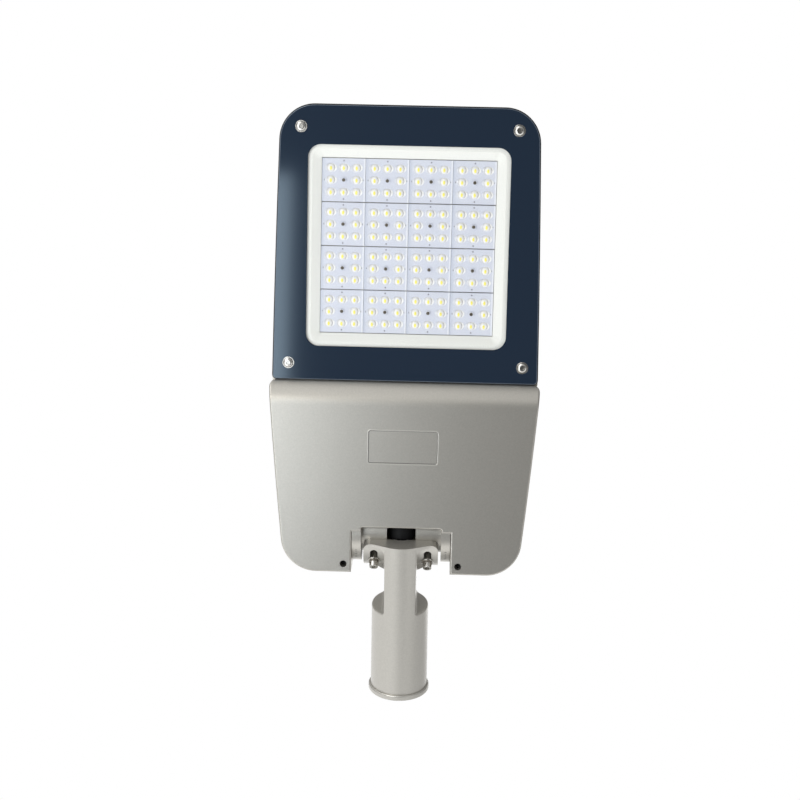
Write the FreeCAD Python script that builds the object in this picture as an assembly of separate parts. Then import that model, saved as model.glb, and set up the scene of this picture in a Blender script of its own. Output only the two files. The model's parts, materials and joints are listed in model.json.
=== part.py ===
import FreeCAD, Part
import math
import os

from FreeCAD import Placement, Rotation, Vector

# LED street light head on a clamped, tilting pole spigot. Millimetres.
# Pole frame: the origin is the centre of the pole socket's mouth, +Z runs up the spigot's axis, the lamp looks to -Y.
# Head frame: the origin is on the swivel axis, +Z runs to the head's far end and +Y to its back.

# Tilt of the head on the spigot
REST_TILT = 10.0
MIN_TILT = 0.0
MAX_TILT = 25.0

# Head outline, seen from the light side
HEAD_LENGTH = 541.0
SWIVEL_TO_LOWER_EDGE = 44.5
WAIST_WIDTH = 308.8
LAMP_TAPER = 7.0
LAMP_SIDE_BOW = 0.7
TOP_CORNER_R = 41.0
LAMP_LENGTH = 316.5
LIP_FLARE = 2.8
COVER_TAPER = 20.4
COVER_SIDE_BOW = 0.9
LIP_CORNER_R = 7.0
LOWER_CORNER_R = 41.5

# Depths, from the swivel axis to the front and to the back
COVER_DEPTH = 38.0
COVER_PROUD = 14.0
GLASS_T = 4.0
GASKET_T = 2.0
LENS_SETBACK = 12.0
GEAR_BACK_DEPTH = 40.0
GEAR_WAIST_DEPTH = 22.0

# Housing casting
WALL_T = 3.5
END_WALL_T = 5.0
COVER_OVERHANG = 0.5
GEAR_DRAFT = 2.0
GEAR_ROUNDING = 12.0
FLOOR_T = 5.0
BORDER_T = 8.0
BORDER_EDGE_R = 4.0
LAND_WIDTH = 34.0
POCKET_R = 12.0
BASE_MARGIN = 8.0
FIN_COUNT = 17
FIN_SIDE_MARGIN = 18.4
FIN_T = 2.5
FIN_TOP_MARGIN = 22.0
FIN_RISE_LENGTH = 40.0
FIN_HEIGHT_FAR = 20.0
FIN_HEIGHT_NEAR = 34.0
FIN_ARCH = 0.35
DUCT_WIDTH = 22.0
DUCT_HOLE_D = 8.0

# Notch at the lower end and the knuckle in it
NOTCH_WIDTH = 115.8
BOSS_WIDTH = 11.0
BOSS_R = 37.5
COVER_RECESS_TOP = 9.6
COVER_STEP_TOP = 5.2
NOTCH_CORNER_R = 2.2
END_WALL_SETBACK = 1.5
BARREL_R = 26.0
CABLE_GAP = 34.0
BARREL_WEB_T = 11.0
BARREL_CORE_WALL = 8.0

# Gear cover
COVER_T = 2.5
COVER_EDGE_R = 2.0
LIP_LENGTH = 26.0
LIP_SINK = 2.0
LABEL_WIDTH = 80.5
LABEL_HEIGHT = 38.5
LABEL_DEPTH = 0.8
LABEL_CORNER_R = 2.5
LABEL_TO_SPLIT = 74.0
COVER_HOLE_D = 8.2
COVER_HOLE_TO_NOTCH = 9.2
COVER_HOLE_TO_EDGE = 10.0
COVER_POST_D = 12.0
COVER_SEAT_T = 2.5

# Glass, its screws and the white reflector frame
GASKET_MARGIN = 1.5
GLASS_LOWER_R = 4.0
GLASS_SCREW_TO_END = 23.05
GLASS_SCREW_TO_TOP_SIDE = 23.9
GLASS_SCREW_TO_LOW_SIDE = 19.1
GLASS_HOLE_D = 6.0
GLASS_BUTTON_D = 11.5
GLASS_BUTTON_H = 3.2
GLASS_SOCKET_D = 4.6
PRINT_SIDE = 38.9
PRINT_END = 42.75
WINDOW_R = 15.0
FRAME_LAP = 4.0
FRAME_RIM = 5.0
FRAME_OPENING_R = 4.0
FRAME_GAP = 0.3
FRAME_SIDE = 15.5
FRAME_END = 14.9

# Lens modules and light boards
ROWS = 4
MODULES_PER_ROW = 4
MODULE_GAP = 0.3
ROW_GAP = 1.0
LED_SIDE_MARGIN = 10.3
LED_END_MARGIN = 11.35
LENS_PLATE_T = 3.0
LENS_SKIRT = 1.0
LENS_GAP_X = 1.1
LENS_WIDTH = 9.4
LENS_PAD_T = 1.6
LENS_HEIGHT = 5.4
LED_SIZE = 3.0
LED_T = 0.7
BOARD_T = 1.6
MODULE_SCREW_D = 3.0
MODULE_HEAD_D = 5.4
MODULE_HEAD_H = 1.8

# Gear tray and what it carries
TRAY_T = 1.5
TRAY_SIDE_ROOM = 13.8
TRAY_END_ROOM = 22.9
TRAY_HEM = 8.0
DRIVER_SIDE_ROOM = 13.0
DRIVER_SHARE = 0.5075
DRIVER_DEPTH = 38.0
DRIVER_FLANGE = 9.0
DRIVER_FLANGE_T = 4.0
SURGE_LENGTH = 52.0
SURGE_SHARE = 0.2985
SURGE_DEPTH = 27.0
TERMINAL_LENGTH = 46.0
TERMINAL_SHARE = 0.164
TERMINAL_DEPTH = 20.0
TERMINAL_WAYS = 3
GEAR_SPACING = 7.0
M4_D = 4.0
M4_HEAD_D = 7.6
M4_HEAD_H = 2.6

# Cable gland in the housing's end wall and breather in its back
GLAND_Y = -4.0
GLAND_D = 25.0
GLAND_FLATS = 28.0
GLAND_FLANGE_T = 5.0
GLAND_NUT_D = 31.0
GLAND_NUT_L = 17.0
GLAND_BORE_D = 16.0
GLAND_SEAL_T = 2.8
LOCKNUT_T = 4.5
BREATHER_D = 12.0
BREATHER_CAP_D = 17.0
BREATHER_CAP_T = 4.0
BREATHER_TO_TRAY_SIDE = 27.0
BREATHER_Z = 40.0

# Spigot casting
SWIVEL_HEIGHT = 200.0
SWIVEL_OFFSET = 20.5
SOCKET_D = 61.5
SOCKET_DEPTH = 98.0
SOCKET_WALL = 3.25
TUBE_TAPER = 1.4
BEAD_PROUD = 2.5
BEAD_HEIGHT = 7.0
BEAD_EDGE_R = 1.8
SHOULDER_TO_SWIVEL = 87.3
SHOULDER_SLOPE = 5.5
SHOULDER_FILLET = 3.5
NECK_WIDTH = 37.0
NECK_EDGE_R = 1.5
SADDLE_SIDE_PLAY = 3.1
SADDLE_T = 15.4
SADDLE_CORNER_R = 8.0
SADDLE_TOP_DROP = 2.3
SADDLE_BACK_ANGLE = 150.0
GUSSET_ROOT = 13.0
GUSSET_END_ANGLE = 100.0
CLAMP_SEAT_TO_NECK = 0.8
CLAMP_SEAT_ANGLES = (7.7, 62.0)
CLAMP_SEAT_R = 7.5
CABLE_BORE_WIDTH = 26.0
CABLE_BORE_LENGTH = 34.0
CABLE_BORE_Y = 9.0

# Clamp screws through the slots, and the screws that hold the pole
CLAMP_TO_SADDLE_SIDE = 12.3
CLAMP_REST_ANGLE = 38.0
CLAMP_D = 6.0
CLAMP_HEAD_D = 10.2
CLAMP_HEAD_H = 6.0
CLAMP_SOCKET_D = 5.0
CLAMP_SOCKET_DEPTH = 3.0
SLOT_WIDTH = 9.0
SLOT_SPARE = 3.0
M8_D = 8.0
M8_HEAD_D = 13.0
M8_HEAD_H = 6.0
M8_SOCKET_D = 6.9
M8_SOCKET_DEPTH = 3.5
CLAMP_GRIP = 16.0
FLAT_WASHER_D = 12.4
FLAT_WASHER_T = 1.6
SPRING_WASHER_D = 11.4
SPRING_WASHER_T = 2.0
SPRING_WASHER_GAP = 1.4
POLE_SCREW_HEIGHTS = (28.0, 74.0)
POLE_BOSS_D = 20.0
POLE_BOSS_PROUD = 5.0
POLE_SCREW_REACH = 1.0

# Fits
CLEARANCE = 0.3
THREAD_FIT = 0.05
HOLE_FIT = 0.2
M5_D = 5.0
M5_HEAD_D = 7.8
M5_HEAD_H = 5.0
M5_GRIP = 10.0
M5_SOCKET_D = 4.6
M5_SOCKET_DEPTH = 2.5

# Widths and lengths that follow from the ones above
TOP_WIDTH = WAIST_WIDTH - 2 * LAMP_TAPER
COVER_WIDTH = WAIST_WIDTH + 2 * LIP_FLARE
LOWER_WIDTH = COVER_WIDTH - 2 * COVER_TAPER
WINDOW_WIDTH = WAIST_WIDTH - 2 * PRINT_SIDE
WINDOW_HEIGHT = LAMP_LENGTH - 2 * PRINT_END
MODULE_PITCH = (WINDOW_WIDTH - 2 * FRAME_SIDE) / MODULES_PER_ROW
ROW_PITCH = (WINDOW_HEIGHT - 2 * FRAME_END) / ROWS
LED_PITCH_X = MODULE_PITCH / 2 - LED_SIDE_MARGIN
LED_PITCH_Z = ROW_PITCH / 2 - LED_END_MARGIN
LENS_LENGTH = LED_PITCH_X - LENS_GAP_X
FIN_PITCH = (WAIST_WIDTH - 2 * FIN_SIDE_MARGIN) / (FIN_COUNT - 1)
TUBE_D = SOCKET_D + 2 * SOCKET_WALL
TUBE_TOP_D = TUBE_D - TUBE_TAPER
BEAD_D = TUBE_D + 2 * BEAD_PROUD
SADDLE_WIDTH = NOTCH_WIDTH - 2 * BOSS_WIDTH - 2 * SADDLE_SIDE_PLAY
GUSSET_HALF = SADDLE_WIDTH / 2 - SADDLE_CORNER_R
CLAMP_X = SADDLE_WIDTH / 2 - CLAMP_TO_SADDLE_SIDE
COVER_HOLE_X = NOTCH_WIDTH / 2 + COVER_HOLE_TO_NOTCH

# Levels in the head frame
Z_TOP = HEAD_LENGTH - SWIVEL_TO_LOWER_EDGE
Z_LOW = -SWIVEL_TO_LOWER_EDGE
Z_SPLIT = Z_TOP - LAMP_LENGTH
Z_ARRAY = Z_TOP - (LAMP_LENGTH + GASKET_MARGIN) / 2 - 2.0
Y_COVER = -COVER_DEPTH
Y_GLASS = Y_COVER + COVER_PROUD
Y_GLASS_BACK = Y_GLASS + GLASS_T
Y_LAND = Y_GLASS_BACK + GASKET_T
Y_LENS = Y_GLASS + LENS_SETBACK
Y_BOARD = Y_LENS + LENS_PLATE_T
Y_PAD = Y_BOARD + BOARD_T
Y_FLOOR_BACK = Y_PAD + FLOOR_T
Y_BORDER_BACK = Y_LAND + BORDER_T
Y_TRAY = GEAR_BACK_DEPTH - WALL_T - TRAY_T
Z_END_WALL = COVER_RECESS_TOP + END_WALL_SETBACK
Z_GEAR_FLOOR = Z_END_WALL + END_WALL_T
TRAY_LOW = Z_GEAR_FLOOR + GEAR_SPACING
TRAY_HEIGHT = Z_SPLIT - TRAY_END_ROOM - TRAY_LOW
TRAY_WIDTH = LOWER_WIDTH - 2 * TRAY_SIDE_ROOM
DRIVER_LENGTH = TRAY_WIDTH - 2 * DRIVER_SIDE_ROOM
DRIVER_WIDTH = TRAY_HEIGHT * DRIVER_SHARE
SURGE_WIDTH = TRAY_HEIGHT * SURGE_SHARE
TERMINAL_WIDTH = TRAY_HEIGHT * TERMINAL_SHARE
BREATHER_X = TRAY_WIDTH / 2 - BREATHER_TO_TRAY_SIDE
SADDLE_BORE_R = BARREL_R + CLEARANCE
SADDLE_R = SADDLE_BORE_R + SADDLE_T
CLAMP_ANGLE = CLAMP_REST_ANGLE + REST_TILT
FAR = 1000.0


def box(x0, x1, y0, y1, z0, z1):
    return Part.makeBox(x1 - x0, y1 - y0, z1 - z0, Vector(x0, y0, z0))


def rod_x(radius, x0, x1, y=0.0, z=0.0):
    return Part.makeCylinder(radius, x1 - x0, Vector(x0, y, z), Vector(1, 0, 0))


def rod_y(radius, y0, y1, x=0.0, z=0.0):
    return Part.makeCylinder(radius, y1 - y0, Vector(x, y0, z), Vector(0, 1, 0))


def rod_z(radius, z0, z1, x=0.0, y=0.0):
    return Part.makeCylinder(radius, z1 - z0, Vector(x, y, z0), Vector(0, 0, 1))


def hex_prism(across_flats, length):
    """Six-sided prism standing on the origin along +Z."""
    corner = across_flats / math.sqrt(3)
    points = [Vector(corner * math.cos(k * math.pi / 3), corner * math.sin(k * math.pi / 3), 0) for k in range(7)]
    return Part.Face(Part.makePolygon(points)).extrude(Vector(0, 0, length))


def fuse_all(shapes):
    whole = shapes[0].multiFuse(shapes[1:])
    return whole.removeSplitter()


def mirrored(shape):
    """The same shape on the other side of the middle plane."""
    return shape.mirror(Vector(0, 0, 0), Vector(1, 0, 0))


def edges_along_y(shape, x_sign_free_points):
    """Edges parallel to Y whose middle lies at one of the (|x|, z) points."""
    found = []
    for edge in shape.Edges:
        middle = edge.CenterOfMass
        ends = [vertex.Point for vertex in edge.Vertexes]
        if len(ends) != 2 or abs(ends[0].x - ends[1].x) + abs(ends[0].z - ends[1].z) > 0.01:
            continue
        for x, z in x_sign_free_points:
            if abs(abs(middle.x) - x) + abs(middle.z - z) < 0.5:
                found.append(edge)
    return found


def bowed_plate(top_half, top_z, low_half, low_z, bow, top_r, low_r, y0, y1):
    """Plate with bowed sides and rounded corners between two depths."""
    mid_half = (top_half + low_half) / 2 + bow
    mid_z = (top_z + low_z) / 2
    corners = [Vector(-top_half, y0, top_z), Vector(top_half, y0, top_z)]
    corners += [Vector(low_half, y0, low_z), Vector(-low_half, y0, low_z)]
    edges = [Part.makeLine(corners[0], corners[1])]
    edges.append(Part.Arc(corners[1], Vector(mid_half, y0, mid_z), corners[2]).toShape())
    edges.append(Part.makeLine(corners[2], corners[3]))
    edges.append(Part.Arc(corners[3], Vector(-mid_half, y0, mid_z), corners[0]).toShape())
    plate = Part.Face(Part.Wire(edges)).extrude(Vector(0, y1 - y0, 0))
    plate = plate.makeFillet(top_r, edges_along_y(plate, [(top_half, top_z)]))
    return plate.makeFillet(low_r, edges_along_y(plate, [(low_half, low_z)]))


def outline_of(plate, y):
    """Wire of the plate's face at one depth."""
    for face in plate.Faces:
        if abs(face.CenterOfMass.y - y) < 0.001 and abs(abs(face.normalAt(0, 0).y) - 1) < 0.001:
            return face.OuterWire
    raise ValueError("no face at that depth")


def inset_prism(wire, inset, y0, y1):
    """Prism between two depths on an outline moved inwards."""
    moved = wire if abs(inset) < 0.001 else wire.makeOffset2D(-inset)
    moved = moved.copy()
    moved.translate(Vector(0, y0 - moved.BoundBox.YMin, 0))
    return Part.Face(moved).extrude(Vector(0, y1 - y0, 0))


def stepped_loft(wire, steps):
    """Solid through copies of an outline, each given as (depth, inset). All start at the lower right corner."""
    corner = Vector(FAR, 0, -FAR)
    sections = []
    for y, inset in steps:
        section = wire.makeOffset2D(-inset)
        section.translate(Vector(0, y - section.BoundBox.YMin, 0))
        edges = section.OrderedEdges
        distances = [edge.firstVertex(True).Point.distanceToPoint(corner) for edge in edges]
        first = distances.index(min(distances))
        sections.append(Part.Wire(edges[first:] + edges[:first]))
    return Part.makeLoft(sections, True, True)


def rounded_block(half_x, z0, z1, radius, y0, y1):
    block = box(-half_x, half_x, y0, y1, z0, z1)
    return block.makeFillet(radius, edges_along_y(block, [(half_x, z0), (half_x, z1)]))


def cap_screw(diameter, grip, head_d, head_h, socket_d, socket_depth):
    """Socket screw along -Z from its seat at the origin, with the head above it."""
    shank = rod_z(diameter / 2 - THREAD_FIT, -grip, 0)
    tip = shank.Edges
    shank = shank.makeChamfer(diameter / 8, [e for e in tip if abs(e.CenterOfMass.z + grip) < 0.01])
    head = rod_z(head_d / 2, 0, head_h)
    head = head.makeFillet(head_h / 12, [e for e in head.Edges if abs(e.CenterOfMass.z - head_h) < 0.01])
    socket = hex_prism(socket_d, socket_depth)
    socket.translate(Vector(0, 0, head_h - socket_depth))
    return shank.fuse(head).cut(socket).removeSplitter()


def button_screw(diameter, grip, head_d, head_h, socket_d, socket_depth):
    """Domed screw along -Z from its seat at the origin."""
    rim = head_h * 0.3
    top = head_d * 0.24
    profile = [Vector(0, 0, -grip), Vector(diameter / 2 - THREAD_FIT, 0, -grip), Vector(diameter / 2 - THREAD_FIT, 0, 0)]
    profile += [Vector(head_d / 2, 0, 0), Vector(head_d / 2, 0, rim)]
    dome_mid = Vector((head_d / 2 + top) / 2 + head_d * 0.05, 0, rim + (head_h - rim) * 0.66)
    edges = [Part.makeLine(a, b) for a, b in zip(profile, profile[1:])]
    edges.append(Part.Arc(profile[-1], dome_mid, Vector(top, 0, head_h)).toShape())
    edges.append(Part.makeLine(Vector(top, 0, head_h), Vector(0, 0, head_h)))
    edges.append(Part.makeLine(Vector(0, 0, head_h), profile[0]))
    screw = Part.Face(Part.Wire(edges)).revolve(Vector(0, 0, 0), Vector(0, 0, 1), 360)
    socket = hex_prism(socket_d, socket_depth)
    socket.translate(Vector(0, 0, head_h - socket_depth))
    return screw.cut(socket)


def facing_front(shape, x, y, z):
    """Turns a +Z shape to look along -Y and puts it at a point."""
    placed = shape.copy()
    placed.Placement = Placement(Vector(x, y, z), Rotation(Vector(1, 0, 0), 90)).multiply(placed.Placement)
    return placed


def facing_back(shape, x, y, z):
    """Turns a +Z shape to look along +Y and puts it at a point."""
    placed = shape.copy()
    placed.Placement = Placement(Vector(x, y, z), Rotation(Vector(1, 0, 0), -90)).multiply(placed.Placement)
    return placed


def around_swivel(shape, angle, y=0.0, z=0.0):
    """Turns a shape drawn towards -Y about the swivel axis, down from the front by an angle."""
    turned = shape.copy()
    turned.rotate(Vector(0, y, z), Vector(1, 0, 0), angle)
    return turned


def lamp_plate(z_low, low_r, y0, y1):
    """Plate on the lamp part's outline, from the head's top down to a level."""
    return bowed_plate(TOP_WIDTH / 2, Z_TOP, WAIST_WIDTH / 2, z_low, LAMP_SIDE_BOW, TOP_CORNER_R, low_r, y0, y1)


def cover_plate(y0, y1):
    """Plate on the gear part's outline, without its notch."""
    top_z = Z_SPLIT - CLEARANCE
    return bowed_plate(
        COVER_WIDTH / 2, top_z, LOWER_WIDTH / 2, Z_LOW, COVER_SIDE_BOW, LIP_CORNER_R, LOWER_CORNER_R, y0, y1
    )


def notch_block(grow, step_top, recess_top, y0, y1):
    """Space of the stepped notch, with its walls and top moved by grow."""
    wide = NOTCH_WIDTH / 2 + grow
    narrow = NOTCH_WIDTH / 2 - BOSS_WIDTH + grow
    lower = box(-wide, wide, y0, y1, Z_LOW - WALL_T, step_top + grow)
    upper = box(-narrow, narrow, y0, y1, Z_LOW - WALL_T, recess_top + grow)
    upper = upper.makeFillet(NOTCH_CORNER_R, edges_along_y(upper, [(narrow, recess_top + grow)]))
    return lower.fuse(upper).removeSplitter()


def lip_space(offset):
    """Space in front of the cover's sloping lip, an arc moved inwards by offset."""
    rise = COVER_PROUD + LIP_SINK
    radius = (LIP_LENGTH ** 2 + rise ** 2) / (2 * rise)
    centre_y = Y_COVER + radius
    z_start = Z_SPLIT - LIP_LENGTH
    block = box(-FAR, FAR, Y_COVER - rise, centre_y, z_start, Z_SPLIT + rise)
    return block.cut(rod_x(radius - offset, -FAR, FAR, centre_y, z_start))


def cover_screw_places():
    z = Z_LOW + COVER_HOLE_TO_EDGE
    return [(-COVER_HOLE_X, z), (COVER_HOLE_X, z)]


def glass_screw_places():
    reach = LAMP_LENGTH / 2 - GLASS_SCREW_TO_END
    places = [(TOP_WIDTH / 2 - GLASS_SCREW_TO_TOP_SIDE, Z_ARRAY + reach)]
    places.append((WAIST_WIDTH / 2 - GLASS_SCREW_TO_LOW_SIDE, Z_ARRAY - reach))
    return [(side * x, z) for x, z in places for side in (-1, 1)]


def module_centres():
    """(x, z) of the lens modules, row by row from the top."""
    xs = [(i - (MODULES_PER_ROW - 1) / 2) * MODULE_PITCH for i in range(MODULES_PER_ROW)]
    zs = [Z_ARRAY - (k - (ROWS - 1) / 2) * ROW_PITCH for k in range(ROWS)]
    return [[(x, z) for x in xs] for z in zs]


def led_offsets():
    """The eight places round a module's middle."""
    steps = (-1, 0, 1)
    return [(i * LED_PITCH_X, k * LED_PITCH_Z) for k in steps for i in steps if (i, k) != (0, 0)]


def make_fin(x):
    """One cooling fin, lower towards the head's sides."""
    reach = (FIN_COUNT - 1) / 2 * FIN_PITCH
    share = 1 - FIN_ARCH * (x / reach) ** 2
    z_far = Z_TOP - FIN_TOP_MARGIN
    z_near = Z_SPLIT - WALL_T - COVER_OVERHANG
    root = Y_BORDER_BACK - BORDER_T / 4
    far_y = Y_BORDER_BACK + FIN_HEIGHT_FAR * share
    near_y = Y_BORDER_BACK + FIN_HEIGHT_NEAR * share
    shoulder = Vector(x, far_y, z_far - FIN_RISE_LENGTH)
    toe = Vector(x, Y_BORDER_BACK, z_far)
    belly = Vector(x, Y_BORDER_BACK + (far_y - Y_BORDER_BACK) * 0.72, z_far - FIN_RISE_LENGTH * 0.28)
    ends = [Vector(x, root, z_far), Vector(x, root, z_near), Vector(x, near_y, z_near)]
    edges = [Part.Arc(shoulder, belly, toe).toShape(), Part.makeLine(toe, ends[0]), Part.makeLine(ends[0], ends[1])]
    edges += [Part.makeLine(ends[1], ends[2]), Part.makeLine(ends[2], shoulder)]
    fin = Part.Face(Part.Wire(edges)).extrude(Vector(FIN_T, 0, 0))
    fin.translate(Vector(-FIN_T / 2, 0, 0))
    return fin


def pocket_levels():
    return Z_SPLIT + LAND_WIDTH, Z_TOP - LAND_WIDTH


def make_lamp_body():
    """Heat sink part of the housing: border land, raised base, fins, lens pocket and screw bosses."""
    z_near = Z_SPLIT - WALL_T
    border = lamp_plate(z_near, GLASS_LOWER_R, Y_LAND, Y_BORDER_BACK)
    border = inset_prism(outline_of(border, Y_LAND), CLEARANCE, Y_LAND, Y_BORDER_BACK)
    back_edges = [e for e in border.Edges if abs(e.BoundBox.YMin - Y_BORDER_BACK) < 0.01]
    back_edges = [e for e in back_edges if abs(e.BoundBox.YMax - Y_BORDER_BACK) < 0.01 and e.BoundBox.ZMax > z_near + 1]
    border = border.makeFillet(BORDER_EDGE_R, back_edges)
    pocket_low, pocket_top = pocket_levels()
    half = WAIST_WIDTH / 2 - LAND_WIDTH
    base_half = half + BASE_MARGIN
    base = rounded_block(base_half, z_near, pocket_top + BASE_MARGIN, POCKET_R, Y_LAND + 1, Y_FLOOR_BACK)
    rim = [e for e in base.Edges if abs(e.BoundBox.YMin - Y_FLOOR_BACK) < 0.01 and abs(e.BoundBox.YMax - Y_FLOOR_BACK) < 0.01]
    base = base.makeChamfer(BORDER_EDGE_R, [e for e in rim if e.BoundBox.ZMax > z_near + 1])
    duct = box(-DUCT_WIDTH / 2, DUCT_WIDTH / 2, Y_LAND, Y_FLOOR_BACK, z_near, pocket_low)
    bosses = [rod_y(M5_D, Y_LAND, Y_FLOOR_BACK, x, z) for x, z in glass_screw_places()]
    fins = [make_fin((i - (FIN_COUNT - 1) / 2) * FIN_PITCH) for i in range(FIN_COUNT)]
    body = fuse_all([border, base, duct] + bosses + fins)
    pocket = rounded_block(half, pocket_low, pocket_top, POCKET_R, Y_LAND - 1, Y_PAD)
    body = body.cut(pocket)
    for x, z in glass_screw_places():
        body = body.cut(rod_y(M5_D / 2, Y_LAND - 1, Y_FLOOR_BACK - 1, x, z))
    for row in module_centres():
        for x, z in row:
            body = body.cut(rod_y(MODULE_SCREW_D / 2, Y_PAD - 1, Y_PAD + FLOOR_T * 0.8, x, z))
    return body


def make_gear_body():
    """Gear box part of the housing with its notch, end wall and screw posts."""
    outline = outline_of(cover_plate(Y_LAND, Y_LAND + 1), Y_LAND)
    waist = COVER_OVERHANG + GEAR_DRAFT
    deep = waist + GEAR_ROUNDING
    shell = stepped_loft(outline, [(Y_LAND, COVER_OVERHANG), (GEAR_WAIST_DEPTH, waist), (GEAR_BACK_DEPTH, deep)])
    inside = stepped_loft(
        outline,
        [
            (Y_LAND, COVER_OVERHANG + WALL_T),
            (GEAR_WAIST_DEPTH, waist + WALL_T),
            (GEAR_BACK_DEPTH - WALL_T, deep + WALL_T / 2),
        ],
    )
    back = GEAR_BACK_DEPTH + 1
    wide = NOTCH_WIDTH / 2
    notch = box(-wide, wide, -FAR, back, Z_LOW - 1, Z_END_WALL)
    walls = box(-wide - WALL_T, wide + WALL_T, -FAR, back, Z_LOW - 1, Z_GEAR_FLOOR)
    return shell.cut(notch), inside.cut(walls)


def make_knuckle():
    """Bosses at the notch's sides and the barrel that the saddle grips, with a window for the cable."""
    wide = NOTCH_WIDTH / 2
    inner = wide - BOSS_WIDTH
    boss = rod_x(BOSS_R, inner, wide + WALL_T)
    boss = boss.fuse(box(inner, wide + WALL_T, -BOSS_R, 0, 0, COVER_STEP_TOP - CLEARANCE))
    barrel = rod_x(BARREL_R, 0, inner + 1)
    window = box(-1, CABLE_GAP / 2, -BARREL_R - 1, BARREL_R - BARREL_WEB_T, -BARREL_R - 1, BARREL_R + 1)
    core_half = BARREL_R - BARREL_CORE_WALL
    core = box(CABLE_GAP / 2 + BARREL_CORE_WALL, inner, -core_half / 4, core_half, -core_half / 2, Z_GEAR_FLOOR + BARREL_R)
    hole = around_swivel(facing_front(rod_z(CLAMP_D / 2, 0, BARREL_R), CLAMP_X, -BARREL_R / 4, 0), CLAMP_ANGLE)
    half = boss.fuse(barrel.cut(window)).cut(core).cut(hole)
    return [half, mirrored(half)]


def make_housing():
    """Die-cast housing: lamp part, gear part and knuckle as one piece."""
    gear, gear_inside = make_gear_body()
    body = fuse_all([make_lamp_body(), gear] + make_knuckle())
    body = body.cut(gear_inside)
    posts = []
    for x, z in cover_screw_places():
        posts.append(rod_y(COVER_POST_D / 2, Y_LAND, GEAR_BACK_DEPTH - WALL_T / 2, x, z))
    body = fuse_all([body] + posts)
    swept = cover_plate(-FAR, Y_LAND)
    swept = inset_prism(outline_of(swept, Y_LAND), -CLEARANCE, -FAR, Y_LAND)
    room = notch_block(-CLEARANCE, COVER_STEP_TOP, COVER_RECESS_TOP, -FAR - 1, Y_LAND + 1)
    body = body.cut(swept.cut(room))
    for x, z in cover_screw_places():
        body = body.cut(rod_y(M5_D / 2, Y_LAND - 1, Y_LAND + M5_GRIP + 2, x, z))
    body = body.cut(rod_z(GLAND_D / 2, Z_END_WALL - 1, Z_GEAR_FLOOR + 1, 0, GLAND_Y))
    duct_y = Y_LAND + DUCT_HOLE_D / 2 + 1.5
    body = body.cut(rod_z(DUCT_HOLE_D / 2, Z_SPLIT - 4 * WALL_T, Z_SPLIT + LAND_WIDTH + 1, 0, duct_y))
    body = body.cut(rod_y(BREATHER_D / 2, GEAR_BACK_DEPTH - 2 * WALL_T, GEAR_BACK_DEPTH + 1, BREATHER_X, BREATHER_Z))
    for x, z in tray_screw_places():
        body = body.cut(rod_y(M4_D / 2, Y_TRAY, Y_TRAY + TRAY_T + WALL_T * 0.7, x, z))
    return body.removeSplitter()


def make_cover():
    """Gear cover: thin shell with the sloping lip, label recess, notch and screw posts."""
    y_rim = Y_LAND - GASKET_T
    outer = cover_plate(Y_COVER, y_rim)
    outline = outline_of(outer, y_rim)
    outer = outer.cut(lip_space(0)).cut(notch_block(0, COVER_STEP_TOP, COVER_RECESS_TOP, Y_COVER - 1, y_rim + 1))
    front = [e for e in outer.Edges if abs(e.BoundBox.YMin - Y_COVER) < 0.01 and abs(e.BoundBox.YMax - Y_COVER) < 0.01]
    front = [e for e in front if abs(e.CenterOfMass.z - (Z_SPLIT - LIP_LENGTH)) > 0.01 or abs(e.CenterOfMass.x) > 1]
    outer = outer.makeFillet(COVER_EDGE_R, front)
    inside = inset_prism(outline, COVER_T, Y_COVER + COVER_T, y_rim + 1)
    inside = inside.cut(lip_space(COVER_T))
    inside = inside.cut(notch_block(COVER_T, COVER_STEP_TOP, COVER_RECESS_TOP, Y_COVER - 1, y_rim + 2))
    shell = outer.cut(inside)
    for x, z in cover_screw_places():
        shell = shell.fuse(rod_y(COVER_POST_D / 2, Y_COVER + COVER_T / 2, Y_LAND, x, z))
    for x, z in cover_screw_places():
        shell = shell.cut(rod_y(COVER_HOLE_D / 2, Y_COVER - 1, Y_LAND - COVER_SEAT_T, x, z))
        shell = shell.cut(rod_y(M5_D / 2 + HOLE_FIT, Y_COVER - 1, Y_LAND + 1, x, z))
    half = LABEL_WIDTH / 2
    z0 = Z_SPLIT - LABEL_TO_SPLIT - LABEL_HEIGHT / 2
    label = rounded_block(half, z0, z0 + LABEL_HEIGHT, LABEL_CORNER_R, Y_COVER - 1, Y_COVER + LABEL_DEPTH)
    return shell.cut(label).removeSplitter()


def make_cover_gasket():
    """Rubber strip under the cover's rim."""
    outline = outline_of(cover_plate(Y_LAND - 1, Y_LAND), Y_LAND)
    y0 = Y_LAND - GASKET_T
    strip = inset_prism(outline, CLEARANCE, y0, Y_LAND)
    strip = strip.cut(notch_block(CLEARANCE, COVER_STEP_TOP, COVER_RECESS_TOP, y0 - 1, Y_LAND + 1))
    inside = inset_prism(outline, COVER_T, y0 - 1, Y_LAND + 1)
    inside = inside.cut(notch_block(COVER_T, COVER_STEP_TOP, COVER_RECESS_TOP, y0 - 2, Y_LAND + 2))
    strip = strip.cut(inside)
    for x, z in cover_screw_places():
        strip = strip.cut(rod_y(COVER_POST_D / 2 + HOLE_FIT, y0 - 1, Y_LAND + 1, x, z))
    return strip


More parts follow.
